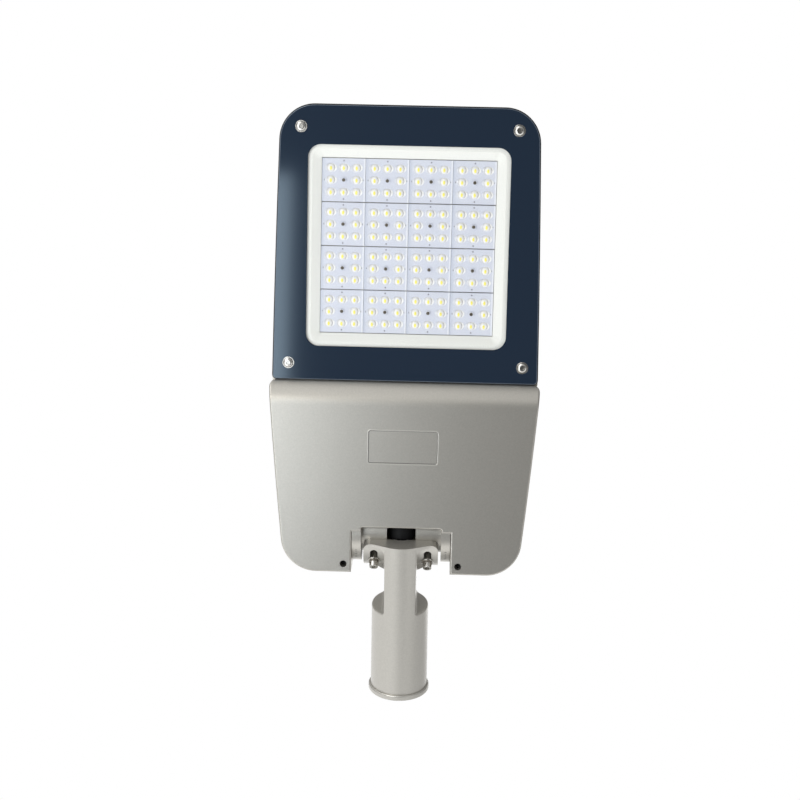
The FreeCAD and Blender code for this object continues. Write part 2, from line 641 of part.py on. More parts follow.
def make_glass():
    plate = lamp_plate(Z_SPLIT, GLASS_LOWER_R + GASKET_MARGIN, Y_GLASS, Y_GLASS_BACK)
    glass = inset_prism(outline_of(plate, Y_GLASS), GASKET_MARGIN, Y_GLASS, Y_GLASS_BACK)
    rims = [e for e in glass.Edges if abs(e.BoundBox.YMin - Y_GLASS) < 0.01 and abs(e.BoundBox.YMax - Y_GLASS) < 0.01]
    glass = glass.makeChamfer(GLASS_T / 8, rims)
    for x, z in glass_screw_places():
        glass = glass.cut(rod_y(GLASS_HOLE_D / 2, Y_GLASS - 1, Y_GLASS_BACK + 1, x, z))
    return glass


def make_glass_gasket():
    """Black rubber frame between the glass and the housing's land, a little wider than the glass."""
    plate = lamp_plate(Z_SPLIT, GLASS_LOWER_R + GASKET_MARGIN, Y_GLASS_BACK, Y_LAND)
    pocket_low, pocket_top = pocket_levels()
    half = WAIST_WIDTH / 2 - LAND_WIDTH
    gasket = plate.cut(rounded_block(half, pocket_low, pocket_top, POCKET_R, Y_GLASS_BACK - 1, Y_LAND + 1))
    for x, z in glass_screw_places():
        gasket = gasket.cut(rod_y(GLASS_HOLE_D / 2, Y_GLASS_BACK - 1, Y_LAND + 1, x, z))
    return gasket


def make_reflector_frame():
    """White frame round the lens field: flat rim under the glass and a slope down to the lenses."""
    front = Y_GLASS_BACK + FRAME_GAP
    window_x = WINDOW_WIDTH / 2
    window_z = WINDOW_HEIGHT / 2
    half_x = window_x - FRAME_SIDE + FRAME_GAP
    half_z = window_z - FRAME_END + FRAME_GAP

    def block(grow, radius, y0, y1):
        return rounded_block(window_x + grow, Z_ARRAY - window_z - grow, Z_ARRAY + window_z + grow, radius, y0, y1)

    outer = block(FRAME_LAP, WINDOW_R, front, Y_PAD)
    mouth = block(-FRAME_RIM, WINDOW_R - FRAME_RIM, front, front + 1)
    throat = rounded_block(half_x, Z_ARRAY - half_z, Z_ARRAY + half_z, FRAME_OPENING_R, Y_LENS - 1, Y_LENS)
    slope = Part.makeLoft([outline_of(mouth, front), outline_of(throat, Y_LENS)], True, True)
    well = box(-half_x, half_x, Y_LENS - 1, Y_PAD + 1, Z_ARRAY - half_z, Z_ARRAY + half_z)
    return outer.cut(slope).cut(well).removeSplitter()


def make_lens():
    """One lens at the origin, looking along -Y: a long pad with a dome on its middle."""
    end_r = LENS_WIDTH / 2
    run = LENS_LENGTH / 2 - end_r
    pad = box(-run, run, -LENS_PAD_T, 0, -end_r, end_r)
    pad = fuse_all([pad, rod_y(end_r, -LENS_PAD_T, 0, -run), rod_y(end_r, -LENS_PAD_T, 0, run)])
    rise = LENS_HEIGHT - LENS_PAD_T
    radius = (end_r ** 2 + rise ** 2) / (2 * rise)
    ball = Part.makeSphere(radius, Vector(0, radius - LENS_HEIGHT, 0), Vector(0, 1, 0))
    dome = ball.common(box(-end_r, end_r, -LENS_HEIGHT, -LENS_PAD_T, -end_r, end_r))
    return pad.fuse(dome).removeSplitter()


def make_lens_plate(x, z):
    """Moulded module: skirted plate with eight lenses and a screw hole in the middle."""
    half_x = (MODULE_PITCH - MODULE_GAP) / 2
    half_z = (ROW_PITCH - ROW_GAP) / 2
    y_inside = Y_BOARD - LENS_SKIRT
    plate = box(-half_x, half_x, Y_LENS, Y_BOARD, -half_z, half_z)
    rim = LENS_SKIRT * 1.2
    hollow = box(rim - half_x, half_x - rim, y_inside, Y_BOARD + 1, rim - half_z, half_z - rim)
    pillar = rod_y(MODULE_HEAD_D / 2, Y_LENS, Y_BOARD)
    plate = plate.cut(hollow).fuse(pillar)
    plate = plate.cut(rod_y(MODULE_SCREW_D / 2 + HOLE_FIT, Y_LENS - 1, Y_BOARD + 1)).removeSplitter()
    lens = make_lens()
    lenses = []
    for dx, dz in led_offsets():
        copy = lens.copy()
        copy.translate(Vector(dx, Y_LENS, dz))
        lenses.append(copy)
    plate = plate.multiFuse(lenses)
    plate.translate(Vector(x, 0, z))
    return plate


def make_board(row):
    """Light board under one row of modules."""
    half_x = (MODULES_PER_ROW * MODULE_PITCH - MODULE_GAP) / 2
    half_z = (ROW_PITCH - ROW_GAP) / 2
    z = row[0][1]
    board = box(-half_x, half_x, Y_BOARD, Y_PAD, z - half_z, z + half_z)
    for x, z_hole in row:
        board = board.cut(rod_y(MODULE_SCREW_D / 2 + HOLE_FIT, Y_BOARD - 1, Y_PAD + 1, x, z_hole))
    return board


def make_leds(row):
    """Light sources soldered on one board."""
    half = LED_SIZE / 2
    chips = []
    for x, z in row:
        for dx, dz in led_offsets():
            chips.append(box(x + dx - half, x + dx + half, Y_BOARD - LED_T, Y_BOARD, z + dz - half, z + dz + half))
    return Part.makeCompound(chips)


def make_module_screws():
    reach = LENS_PLATE_T + BOARD_T + FLOOR_T / 2
    screw = button_screw(MODULE_SCREW_D, reach, MODULE_HEAD_D, MODULE_HEAD_H, MODULE_SCREW_D / 2, MODULE_HEAD_H / 2)
    return Part.makeCompound([facing_front(screw, x, Y_LENS, z) for row in module_centres() for x, z in row])


def make_glass_screws():
    grip = GLASS_T + GASKET_T + BORDER_T
    screw = button_screw(M5_D, grip, GLASS_BUTTON_D, GLASS_BUTTON_H, GLASS_SOCKET_D, GLASS_BUTTON_H * 0.6)
    return Part.makeCompound([facing_front(screw, x, Y_GLASS, z) for x, z in glass_screw_places()])


def make_cover_screws():
    screw = cap_screw(M5_D, COVER_SEAT_T + M5_GRIP, M5_HEAD_D, M5_HEAD_H, M5_SOCKET_D, M5_SOCKET_DEPTH)
    return Part.makeCompound([facing_front(screw, x, Y_LAND - COVER_SEAT_T, z) for x, z in cover_screw_places()])


def tray_screw_places():
    x = TRAY_WIDTH / 2 - TRAY_HEM - M4_HEAD_D / 2 - 1
    levels = (TRAY_LOW + TRAY_HEM, TRAY_LOW + TRAY_HEIGHT - TRAY_HEM)
    return [(side * x, z) for z in levels for side in (-1, 1)]


def make_tray():
    """Folded gear tray with hemmed long sides."""
    z1 = TRAY_LOW + TRAY_HEIGHT
    half = TRAY_WIDTH / 2
    tray = box(-half, half, Y_TRAY, Y_TRAY + TRAY_T, TRAY_LOW, z1)
    for z in (TRAY_LOW, z1 - TRAY_T):
        tray = tray.fuse(box(-half + TRAY_HEM, half - TRAY_HEM, Y_TRAY - TRAY_HEM, Y_TRAY + TRAY_T, z, z + TRAY_T))
    for x, z in tray_screw_places() + driver_screw_places() + surge_screw_places() + terminal_screw_places():
        tray = tray.cut(rod_y(M4_D / 2, Y_TRAY - 1, Y_TRAY + TRAY_T + 1, x, z))
    tray = tray.cut(rod_y(BREATHER_CAP_D / 2, Y_TRAY - 1, Y_TRAY + TRAY_T + 1, BREATHER_X, BREATHER_Z))
    return tray.removeSplitter()


def driver_centre_z():
    return TRAY_LOW + TRAY_HEIGHT - TRAY_T - GEAR_SPACING - DRIVER_WIDTH / 2


def lower_row_z():
    return (TRAY_LOW + TRAY_T + driver_centre_z() - DRIVER_WIDTH / 2) / 2


def driver_screw_places():
    x = DRIVER_LENGTH / 2 - DRIVER_FLANGE / 2
    return [(-x, driver_centre_z()), (x, driver_centre_z())]


def surge_centre_x():
    return DRIVER_LENGTH / 2 - SURGE_LENGTH / 2 - 3 * GEAR_SPACING - BREATHER_CAP_D


def surge_screw_places():
    x = SURGE_LENGTH / 2 + M4_HEAD_D / 2
    return [(surge_centre_x() - x, lower_row_z()), (surge_centre_x() + x, lower_row_z())]


def terminal_screw_places():
    x = TERMINAL_LENGTH / 2 + M4_HEAD_D / 2
    return [(terminal_centre_x() - x, lower_row_z()), (terminal_centre_x() + x, lower_row_z())]


def terminal_centre_x():
    return -DRIVER_LENGTH / 2 + TERMINAL_LENGTH / 2 + M4_HEAD_D + GEAR_SPACING


def flanged_block(length, width, depth, flange, flange_t, x, z, edge_r):
    """Block on the tray with a screw flange at each end."""
    half = length / 2
    z0 = z - width / 2
    block = box(x - half, x + half, Y_TRAY - depth, Y_TRAY, z0, z0 + width)
    long_edges = [e for e in block.Edges if e.BoundBox.XLength > length - 1 and e.BoundBox.YMax < Y_TRAY - 1]
    block = block.makeFillet(edge_r, long_edges)
    foot = box(x - half - flange, x + half + flange, Y_TRAY - flange_t, Y_TRAY, z - width / 3, z + width / 3)
    return block.fuse(foot).removeSplitter()


def make_driver():
    """Potted driver: rounded metal case with end flanges."""
    z = driver_centre_z()
    body = DRIVER_LENGTH - 2 * DRIVER_FLANGE
    driver = flanged_block(body, DRIVER_WIDTH, DRIVER_DEPTH, DRIVER_FLANGE, DRIVER_FLANGE_T, 0, z, DRIVER_DEPTH / 6)
    for x, z_hole in driver_screw_places():
        driver = driver.cut(rod_y(M4_D / 2 + HOLE_FIT, Y_TRAY - DRIVER_DEPTH, Y_TRAY + 1, x, z_hole))
    return driver


def make_surge_protector():
    z = lower_row_z()
    flange = M4_HEAD_D
    block = flanged_block(SURGE_LENGTH, SURGE_WIDTH, SURGE_DEPTH, flange, DRIVER_FLANGE_T, surge_centre_x(), z, 3)
    for x, z_hole in surge_screw_places():
        block = block.cut(rod_y(M4_D / 2 + HOLE_FIT, Y_TRAY - SURGE_DEPTH, Y_TRAY + 1, x, z_hole))
    return block


def make_terminal_block():
    """Connector block with a wire hole and a screw well for each way."""
    z = lower_row_z()
    x0 = terminal_centre_x()
    block = flanged_block(TERMINAL_LENGTH, TERMINAL_WIDTH, TERMINAL_DEPTH, M4_HEAD_D, DRIVER_FLANGE_T, x0, z, 2)
    pitch = TERMINAL_LENGTH / TERMINAL_WAYS
    for k in range(TERMINAL_WAYS):
        x = x0 + (k - (TERMINAL_WAYS - 1) / 2) * pitch
        block = block.cut(rod_z(pitch / 5, z - TERMINAL_WIDTH, z + TERMINAL_WIDTH, x, Y_TRAY - TERMINAL_DEPTH / 3))
        block = block.cut(rod_y(pitch / 4, Y_TRAY - TERMINAL_DEPTH - 1, Y_TRAY - TERMINAL_DEPTH * 0.6, x, z))
    for x, z_hole in terminal_screw_places():
        block = block.cut(rod_y(M4_D / 2 + HOLE_FIT, Y_TRAY - TERMINAL_DEPTH, Y_TRAY + 1, x, z_hole))
    return block


def pan_screws(places, seat_t, y):
    """Pan-head screws through a part of one thickness into what lies behind it."""
    screw = button_screw(M4_D, seat_t + TRAY_T * 0.9, M4_HEAD_D, M4_HEAD_H, M4_D / 2, M4_HEAD_H / 2)
    return Part.makeCompound([facing_front(screw, x, y - seat_t, z) for x, z in places])


def at_gland(shape):
    """Moves a shape drawn on the Z axis to the gland's place."""
    placed = shape.copy()
    placed.translate(Vector(0, GLAND_Y, 0))
    return placed


def make_gland_body():
    """Gland with its thread in the end wall and a hexagon under it."""
    body = rod_z(GLAND_D / 2 - THREAD_FIT, Z_END_WALL - GLAND_FLANGE_T, Z_GEAR_FLOOR + LOCKNUT_T + 2)
    flange = hex_prism(GLAND_FLATS, GLAND_FLANGE_T)
    flange.translate(Vector(0, 0, Z_END_WALL - GLAND_FLANGE_T))
    neck_r = GLAND_NUT_D / 2 - GLAND_SEAL_T
    neck = rod_z(neck_r, Z_END_WALL - GLAND_FLANGE_T - GLAND_NUT_L / 2, Z_END_WALL - GLAND_FLANGE_T)
    whole = fuse_all([body, flange, neck])
    bore = rod_z(GLAND_BORE_D / 2, Z_LOW, Z_GEAR_FLOOR + LOCKNUT_T + 3)
    seal_room = rod_z(GLAND_BORE_D / 2 + GLAND_SEAL_T, Z_LOW, Z_END_WALL - GLAND_FLANGE_T)
    return at_gland(whole.cut(bore).cut(seal_room))


def make_gland_nut():
    """Dome nut that squeezes the seal."""
    top = Z_END_WALL - GLAND_FLANGE_T
    nut = rod_z(GLAND_NUT_D / 2, top - GLAND_NUT_L, top)
    nut = nut.makeFillet(GLAND_SEAL_T * 1.5, [e for e in nut.Edges if abs(e.CenterOfMass.z - top + GLAND_NUT_L) < 0.01])
    room = rod_z(GLAND_NUT_D / 2 - GLAND_SEAL_T + THREAD_FIT, top - GLAND_NUT_L * 0.7, top + 1)
    return at_gland(nut.cut(room).cut(rod_z(GLAND_BORE_D / 2, top - GLAND_NUT_L - 1, top)))


def make_gland_seal():
    top = Z_END_WALL - GLAND_FLANGE_T
    outer_r = GLAND_BORE_D / 2 + GLAND_SEAL_T - THREAD_FIT
    seal = rod_z(outer_r, top - GLAND_NUT_L * 0.7, top)
    return at_gland(seal.cut(rod_z(GLAND_BORE_D / 2 - 1.5, top - GLAND_NUT_L, top + 1)))


def make_gland_locknut():
    nut = hex_prism(GLAND_FLATS, LOCKNUT_T)
    nut.translate(Vector(0, 0, Z_GEAR_FLOOR))
    return at_gland(nut.cut(rod_z(GLAND_D / 2, Z_GEAR_FLOOR - 1, Z_GEAR_FLOOR + LOCKNUT_T + 1)))


def make_breather():
    """Vent plug screwed into the gear box's back."""
    shank = rod_z(BREATHER_D / 2 - THREAD_FIT, -WALL_T, 0)
    cap = rod_z(BREATHER_CAP_D / 2, 0, BREATHER_CAP_T)
    cap = cap.makeFillet(BREATHER_CAP_T / 3, [e for e in cap.Edges if abs(e.CenterOfMass.z - BREATHER_CAP_T) < 0.01])
    return facing_back(shank.fuse(cap).removeSplitter(), BREATHER_X, GEAR_BACK_DEPTH, BREATHER_Z)


def make_lead_grommet():
    """Rubber bush where the light boards' leads enter the gear box."""
    y = Y_LAND + DUCT_HOLE_D / 2 + 1.5
    top = Z_SPLIT - CLEARANCE - COVER_OVERHANG - WALL_T - GEAR_DRAFT * 0.3
    bush = rod_z(DUCT_HOLE_D / 2 - THREAD_FIT, top - 1, top + WALL_T, 0, y)
    return bush.fuse(rod_z(DUCT_HOLE_D / 2 + 1.4, top - 2.5, top, 0, y)).removeSplitter()


def saddle_sector(r0, r1, x0, x1, angle0, angle1):
    """Part of a ring about the swivel axis, between two angles below the front, at the spigot."""
    corners = [(x0, r1), (x1, r1), (x1, r0), (x0, r0), (x0, r1)]
    profile = Part.Face(Part.makePolygon([Vector(x, SWIVEL_OFFSET - r, SWIVEL_HEIGHT) for x, r in corners]))
    axis_point = Vector(0, SWIVEL_OFFSET, SWIVEL_HEIGHT)
    profile.rotate(axis_point, Vector(1, 0, 0), angle0)
    return profile.revolve(axis_point, Vector(1, 0, 0), angle1 - angle0)


def make_slot(x):
    """Curved slot for one clamp screw, long enough for the whole tilt."""
    first = CLAMP_ANGLE - MAX_TILT - SLOT_SPARE
    last = CLAMP_ANGLE - MIN_TILT + SLOT_SPARE
    reach = SADDLE_R + 5
    parts = [saddle_sector(SADDLE_BORE_R - 5, reach, x - SLOT_WIDTH / 2, x + SLOT_WIDTH / 2, first, last)]
    for angle in (first, last):
        end = Part.makeCylinder(
            SLOT_WIDTH / 2, reach - SADDLE_BORE_R + 5, Vector(x, SWIVEL_OFFSET - reach, SWIVEL_HEIGHT), Vector(0, 1, 0)
        )
        parts.append(around_swivel(end, angle, SWIVEL_OFFSET, SWIVEL_HEIGHT))
    return parts[0].multiFuse(parts[1:])


def make_scoop():
    """Space beside the neck, over a shoulder that falls to the front."""
    wall = NECK_WIDTH / 2
    z = SWIVEL_HEIGHT - SHOULDER_TO_SWIVEL
    r = SHOULDER_FILLET
    outer = BEAD_D
    high = SWIVEL_HEIGHT + SADDLE_R
    mid = Vector(wall + r * (1 - math.sqrt(0.5)), 0, z + r * (1 - math.sqrt(0.5)))
    edges = [Part.makeLine(Vector(wall, 0, high), Vector(wall, 0, z + r))]
    edges.append(Part.Arc(Vector(wall, 0, z + r), mid, Vector(wall + r, 0, z)).toShape())
    edges.append(Part.makeLine(Vector(wall + r, 0, z), Vector(outer, 0, z)))
    edges.append(Part.makeLine(Vector(outer, 0, z), Vector(outer, 0, high)))
    edges.append(Part.makeLine(Vector(outer, 0, high), Vector(wall, 0, high)))
    fall = math.tan(math.radians(SHOULDER_SLOPE))
    face = Part.Face(Part.Wire(edges))
    face.translate(Vector(0, -BEAD_D, -BEAD_D * fall))
    return face.extrude(Vector(0, 2 * BEAD_D, 2 * BEAD_D * fall))


def make_spigot_blank(top):
    """Turned form of the spigot up to a level: beaded mouth and a slightly tapered body."""
    bead_r = BEAD_D / 2
    foot_r = TUBE_D / 2
    top_r = TUBE_TOP_D / 2
    e = BEAD_EDGE_R
    d = e * (1 - math.sqrt(0.5))
    points = [Vector(0, 0, 0), Vector(bead_r - e, 0, 0), Vector(bead_r, 0, e), Vector(bead_r, 0, BEAD_HEIGHT - e)]
    points += [Vector(bead_r - e, 0, BEAD_HEIGHT), Vector(foot_r, 0, BEAD_HEIGHT), Vector(top_r, 0, top), Vector(0, 0, top)]
    edges = [Part.makeLine(points[0], points[1])]
    edges.append(Part.Arc(points[1], Vector(bead_r - d, 0, d), points[2]).toShape())
    edges.append(Part.makeLine(points[2], points[3]))
    edges.append(Part.Arc(points[3], Vector(bead_r - d, 0, BEAD_HEIGHT - d), points[4]).toShape())
    edges += [Part.makeLine(a, b) for a, b in zip(points[4:], points[5:])]
    edges.append(Part.makeLine(points[-1], points[0]))
    return Part.Face(Part.Wire(edges)).revolve(Vector(0, 0, 0), Vector(0, 0, 1), 360)


def edge_middle(edge):
    return edge.valueAt((edge.FirstParameter + edge.LastParameter) / 2)


def make_neck_body(top):
    """Turned body with the two scoops, its edges along the neck and shoulders rounded."""
    scoop = make_scoop()
    body = make_spigot_blank(top).cut(scoop).cut(mirrored(scoop))
    lowest = SWIVEL_HEIGHT - SHOULDER_TO_SWIVEL - TUBE_D * math.tan(math.radians(SHOULDER_SLOPE))
    rims = []
    for edge in body.Edges:
        middle = edge_middle(edge)
        on_skin = abs(math.hypot(middle.x, middle.y) - TUBE_D / 2) < (TUBE_D - TUBE_TOP_D) / 2 + 0.1
        if on_skin and abs(middle.x) > NECK_WIDTH / 2 - 0.01 and edge.BoundBox.ZMin > lowest and middle.z < top - 1:
            rims.append(edge)
    return body.makeFillet(NECK_EDGE_R, rims)


def make_saddle():
    """Curved clamp plate round the swivel axis with rounded corners at its back end."""
    half = SADDLE_WIDTH / 2
    saddle = saddle_sector(SADDLE_BORE_R - 1, SADDLE_R, -half, half, -25, SADDLE_BACK_ANGLE)
    corners = []
    for edge in saddle.Edges:
        at_side = abs(abs(edge.CenterOfMass.x) - half) < 0.01 and edge.BoundBox.XLength < 0.01
        if at_side and edge.CenterOfMass.y > SWIVEL_OFFSET and edge.Length < SADDLE_T + 2:
            corners.append(edge)
    return saddle.makeFillet(SADDLE_CORNER_R, corners)


def make_gusset():
    """Blend between neck and saddle: an S-shaped outline turned about the swivel axis."""
    neck_r = TUBE_TOP_D / 2
    root_y = -math.sqrt(neck_r ** 2 - GUSSET_ROOT ** 2)
    slope = -GUSSET_ROOT / root_y
    saddle_y = SWIVEL_OFFSET - SADDLE_R
    width = GUSSET_HALF - GUSSET_ROOT
    poles = [
        Vector(GUSSET_HALF, saddle_y, SWIVEL_HEIGHT),
        Vector(GUSSET_HALF - width * 0.2, saddle_y, SWIVEL_HEIGHT),
        Vector(GUSSET_ROOT + width * 0.5, root_y + width * 0.5 * slope, SWIVEL_HEIGHT),
        Vector(GUSSET_ROOT, root_y, SWIVEL_HEIGHT),
    ]
    curve = Part.BezierCurve()
    curve.setPoles(poles)
    inside = SWIVEL_OFFSET - SADDLE_BORE_R
    points = [poles[3], Vector(GUSSET_ROOT, inside, SWIVEL_HEIGHT), Vector(GUSSET_HALF, inside, SWIVEL_HEIGHT), poles[0]]
    edges = [curve.toShape()] + [Part.makeLine(a, b) for a, b in zip(points, points[1:])]
    face = Part.Face(Part.Wire(edges))
    axis_point = Vector(0, SWIVEL_OFFSET, SWIVEL_HEIGHT)
    face.rotate(axis_point, Vector(1, 0, 0), -25)
    return face.revolve(axis_point, Vector(1, 0, 0), GUSSET_END_ANGLE + 25)


def make_clamp_seat():
    """Space over one ear where the gusset is cut back to the saddle, with round inner corners."""
    first, last = CLAMP_SEAT_ANGLES
    x0 = NECK_WIDTH / 2 + CLAMP_SEAT_TO_NECK
    seat = saddle_sector(SADDLE_R, SADDLE_R + TUBE_D, x0, SADDLE_WIDTH, first, last)
    corners = []
    for edge in seat.Edges:
        if edge.BoundBox.XLength < 0.01 and abs(edge.CenterOfMass.x - x0) < 0.01 and abs(edge.Length - TUBE_D) < 0.01:
            corners.append(edge)
    return seat.makeFillet(CLAMP_SEAT_R, corners)


def pole_screw_seat():
    return TUBE_D / 2 + POLE_BOSS_PROUD


def make_spigot():
    """Spigot casting: pole socket, neck between two scooped shoulders, and slotted saddle."""
    top = SWIVEL_HEIGHT - SADDLE_TOP_DROP
    gusset = make_gusset()
    seat = make_clamp_seat()
    gusset = gusset.cut(seat)
    body = fuse_all([make_neck_body(SWIVEL_HEIGHT + SADDLE_T), make_saddle(), gusset, mirrored(gusset)])
    body = body.cut(box(-FAR, FAR, -FAR, SWIVEL_OFFSET + SADDLE_R / 2, top, FAR)).removeSplitter()
    corners = []
    for edge in body.Edges:
        middle = edge_middle(edge)
        if abs(abs(middle.x) - SADDLE_WIDTH / 2) < 0.01 and abs(middle.z - top) < 0.01:
            corners.append(edge)
    body = body.makeFillet(SADDLE_CORNER_R, corners)
    bosses = []
    for z in POLE_SCREW_HEIGHTS:
        bosses.append(rod_y(POLE_BOSS_D / 2, SOCKET_D / 2, pole_screw_seat(), 0, z))
    body = fuse_all([body] + bosses)
    body = body.cut(rod_z(SOCKET_D / 2, -1, SOCKET_DEPTH))
    half_run = (CABLE_BORE_LENGTH - CABLE_BORE_WIDTH) / 2
    bore = box(-CABLE_BORE_WIDTH / 2, CABLE_BORE_WIDTH / 2, CABLE_BORE_Y - half_run, CABLE_BORE_Y + half_run, 1, SWIVEL_HEIGHT)
    bore = fuse_all(
        [bore]
        + [rod_z(CABLE_BORE_WIDTH / 2, 1, SWIVEL_HEIGHT, 0, CABLE_BORE_Y + side * half_run) for side in (-1, 1)]
    )
    body = body.cut(bore)
    body = body.cut(rod_x(SADDLE_BORE_R, -SADDLE_WIDTH, SADDLE_WIDTH, SWIVEL_OFFSET, SWIVEL_HEIGHT))
    for side in (-1, 1):
        body = body.cut(make_slot(side * CLAMP_X))
    for z in POLE_SCREW_HEIGHTS:
        body = body.cut(rod_y(M8_D / 2, 0, pole_screw_seat() + 1, 0, z))
    return body.removeSplitter()


def make_pole_screws():
    grip = pole_screw_seat() - SOCKET_D / 2 - POLE_SCREW_REACH
    screw = cap_screw(M8_D, grip, M8_HEAD_D, M8_HEAD_H, M8_SOCKET_D, M8_SOCKET_DEPTH)
    return Part.makeCompound([facing_back(screw, 0, pole_screw_seat(), z) for z in POLE_SCREW_HEIGHTS])


def at_clamp(shape, radius):
    """Copies of a +Z shape on the two clamp axes, at a distance from the swivel axis."""
    copies = []
    for side in (-1, 1):
        copies.append(around_swivel(facing_front(shape, side * CLAMP_X, -radius, 0), CLAMP_ANGLE))
    return Part.makeCompound(copies)


def make_flat_washers():
    washer = rod_z(FLAT_WASHER_D / 2, 0, FLAT_WASHER_T).cut(rod_z(CLAMP_D / 2 + HOLE_FIT, -1, FLAT_WASHER_T + 1))
    return at_clamp(washer, SADDLE_R + CLEARANCE)


def make_spring_washers():
    """Split washers under the clamp screws' heads."""
    washer = rod_z(SPRING_WASHER_D / 2, 0, SPRING_WASHER_T).cut(rod_z(CLAMP_D / 2 + HOLE_FIT, -1, SPRING_WASHER_T + 1))
    split = box(0, SPRING_WASHER_D, -SPRING_WASHER_GAP / 2, SPRING_WASHER_GAP / 2, -1, SPRING_WASHER_T + 1)
    split.rotate(Vector(0, 0, 0), Vector(0, 0, 1), 40)
    return at_clamp(washer.cut(split), SADDLE_R + CLEARANCE + FLAT_WASHER_T)


def make_clamp_screws():
    seat = SADDLE_R + CLEARANCE + FLAT_WASHER_T + SPRING_WASHER_T
    grip = seat - BARREL_R + CLAMP_GRIP
    screw = cap_screw(CLAMP_D, grip, CLAMP_HEAD_D, CLAMP_HEAD_H, CLAMP_SOCKET_D, CLAMP_SOCKET_DEPTH)
    return at_clamp(screw, seat)


def head_nodes():
    """Pieces of the head, in the head frame."""
    nodes = {
        "housing": make_housing(),
        "gear_cover": make_cover(),
        "cover_gasket": make_cover_gasket(),
        "cover_screws": make_cover_screws(),
        "front_glass": make_glass(),
        "glass_gasket": make_glass_gasket(),
        "glass_screws": make_glass_screws(),
        "reflector_frame": make_reflector_frame(),
        "module_screws": make_module_screws(),
        "gear_tray": make_tray(),
        "tray_screws": pan_screws(tray_screw_places(), 0, Y_TRAY),
        "led_driver": make_driver(),
        "driver_screws": pan_screws(driver_screw_places(), DRIVER_FLANGE_T, Y_TRAY),
        "surge_protector": make_surge_protector(),
        "surge_screws": pan_screws(surge_screw_places(), DRIVER_FLANGE_T, Y_TRAY),
        "terminal_block": make_terminal_block(),
        "terminal_screws": pan_screws(terminal_screw_places(), DRIVER_FLANGE_T, Y_TRAY),
        "gland_body": make_gland_body(),
        "gland_nut": make_gland_nut(),
        "gland_seal": make_gland_seal(),
        "gland_locknut": make_gland_locknut(),
        "breather": make_breather(),
        "lead_grommet": make_lead_grommet(),
        "clamp_screws": make_clamp_screws(),
        "flat_washers": make_flat_washers(),
        "spring_washers": make_spring_washers(),
    }
    for k, row in enumerate(module_centres(), start=1):
        nodes[f"light_board_{k}"] = make_board(row)
        nodes[f"leds_{k}"] = make_leds(row)
        for i, (x, z) in enumerate(row, start=1):
            nodes[f"lens_plate_{k}_{i}"] = make_lens_plate(x, z)
    return nodes


def spigot_nodes():
    """Pieces of the spigot, in the pole frame."""
    return {"spigot": make_spigot(), "pole_screws": make_pole_screws()}


def put_head_in_place(shape):
    """Leans the head back by its rest tilt and lifts it to the swivel axis."""
    placed = shape.copy()
    placed.rotate(Vector(0, 0, 0), Vector(1, 0, 0), -REST_TILT)
    placed.translate(Vector(0, SWIVEL_OFFSET, SWIVEL_HEIGHT))
    return placed


def main():
    os.makedirs("parts", exist_ok=True)
    nodes = {name: put_head_in_place(shape) for name, shape in head_nodes().items()}
    nodes.update(spigot_nodes())
    for name, shape in nodes.items():
        shape.exportStep(f"parts/{name}.step")
        print(name, len(shape.Solids), shape.isValid(), round(shape.Volume))


main()
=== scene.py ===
"""Looks of the LED street light head: finishes, lens modules and small details around the fixed CAD frame."""

import json
import logging
import math
from dataclasses import dataclass
from enum import Enum

import bmesh
import bpy
from mathutils import Matrix, Vector


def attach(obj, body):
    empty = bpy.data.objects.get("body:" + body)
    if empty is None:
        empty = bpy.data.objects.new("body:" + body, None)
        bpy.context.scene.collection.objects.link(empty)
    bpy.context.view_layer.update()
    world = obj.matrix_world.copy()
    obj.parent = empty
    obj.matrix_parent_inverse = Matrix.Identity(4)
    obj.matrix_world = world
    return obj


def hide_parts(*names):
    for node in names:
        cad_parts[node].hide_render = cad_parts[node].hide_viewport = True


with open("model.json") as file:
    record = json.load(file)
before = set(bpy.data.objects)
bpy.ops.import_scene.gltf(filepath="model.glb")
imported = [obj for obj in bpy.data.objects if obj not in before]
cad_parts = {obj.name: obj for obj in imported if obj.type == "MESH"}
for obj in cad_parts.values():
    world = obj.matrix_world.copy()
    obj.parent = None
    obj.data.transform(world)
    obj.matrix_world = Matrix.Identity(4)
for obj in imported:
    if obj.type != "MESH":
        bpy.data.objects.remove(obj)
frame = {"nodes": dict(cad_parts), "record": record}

LOG = logging.getLogger("street_light")
MM = 0.001

Z_WINDOW = 335.5
Y_GLASS = -24.0
Y_COVER = -38.0

Color = tuple[float, float, float]
Point = tuple[float, float, float]
Pair = tuple[float, float]
Socket = bpy.types.NodeSocket
Value = bpy.types.NodeSocket | float | Color | Vector


class Body(Enum):
    """Rigid bodies of the record."""

    HEAD = "head"
    SPIGOT = "spigot"


class Slot(Enum):
    """Material slots of the record that the added pieces use."""

    CASTING = "painted_casting"
    STEEL = "stainless"
    LENS = "clear_plastic"


@dataclass(frozen=True)
class HeadFrame:
    """Head coordinates in millimetres, from the swivel axis: x right, y to the back, z to the far end."""

    tilt_deg: float = 10.0
    offset: float = 20.5
    height: float = 200.0

    @property
    def matrix(self) -> Matrix:
        """Turns head coordinates in millimetres into the row frame in metres."""
        lift = Matrix.Translation(Vector((0.0, self.offset, self.height)))
        return Matrix.Scale(MM, 4) @ lift @ Matrix.Rotation(math.radians(-self.tilt_deg), 4, "X")

    @property
    def front(self) -> Vector:
        """Direction out of the glass."""
        return self.matrix.to_3x3().normalized() @ Vector((0.0, -1.0, 0.0))

    def point(self, x: float, y: float, z: float) -> Vector:
        """Row-frame position of a point given in head coordinates.

        Args:
            x: Millimetres to the right.
            y: Millimetres to the back.
            z: Millimetres up the head.

        Returns:
            The point in metres.
        """
        return self.matrix @ Vector((x, y, z))


HEAD = HeadFrame()


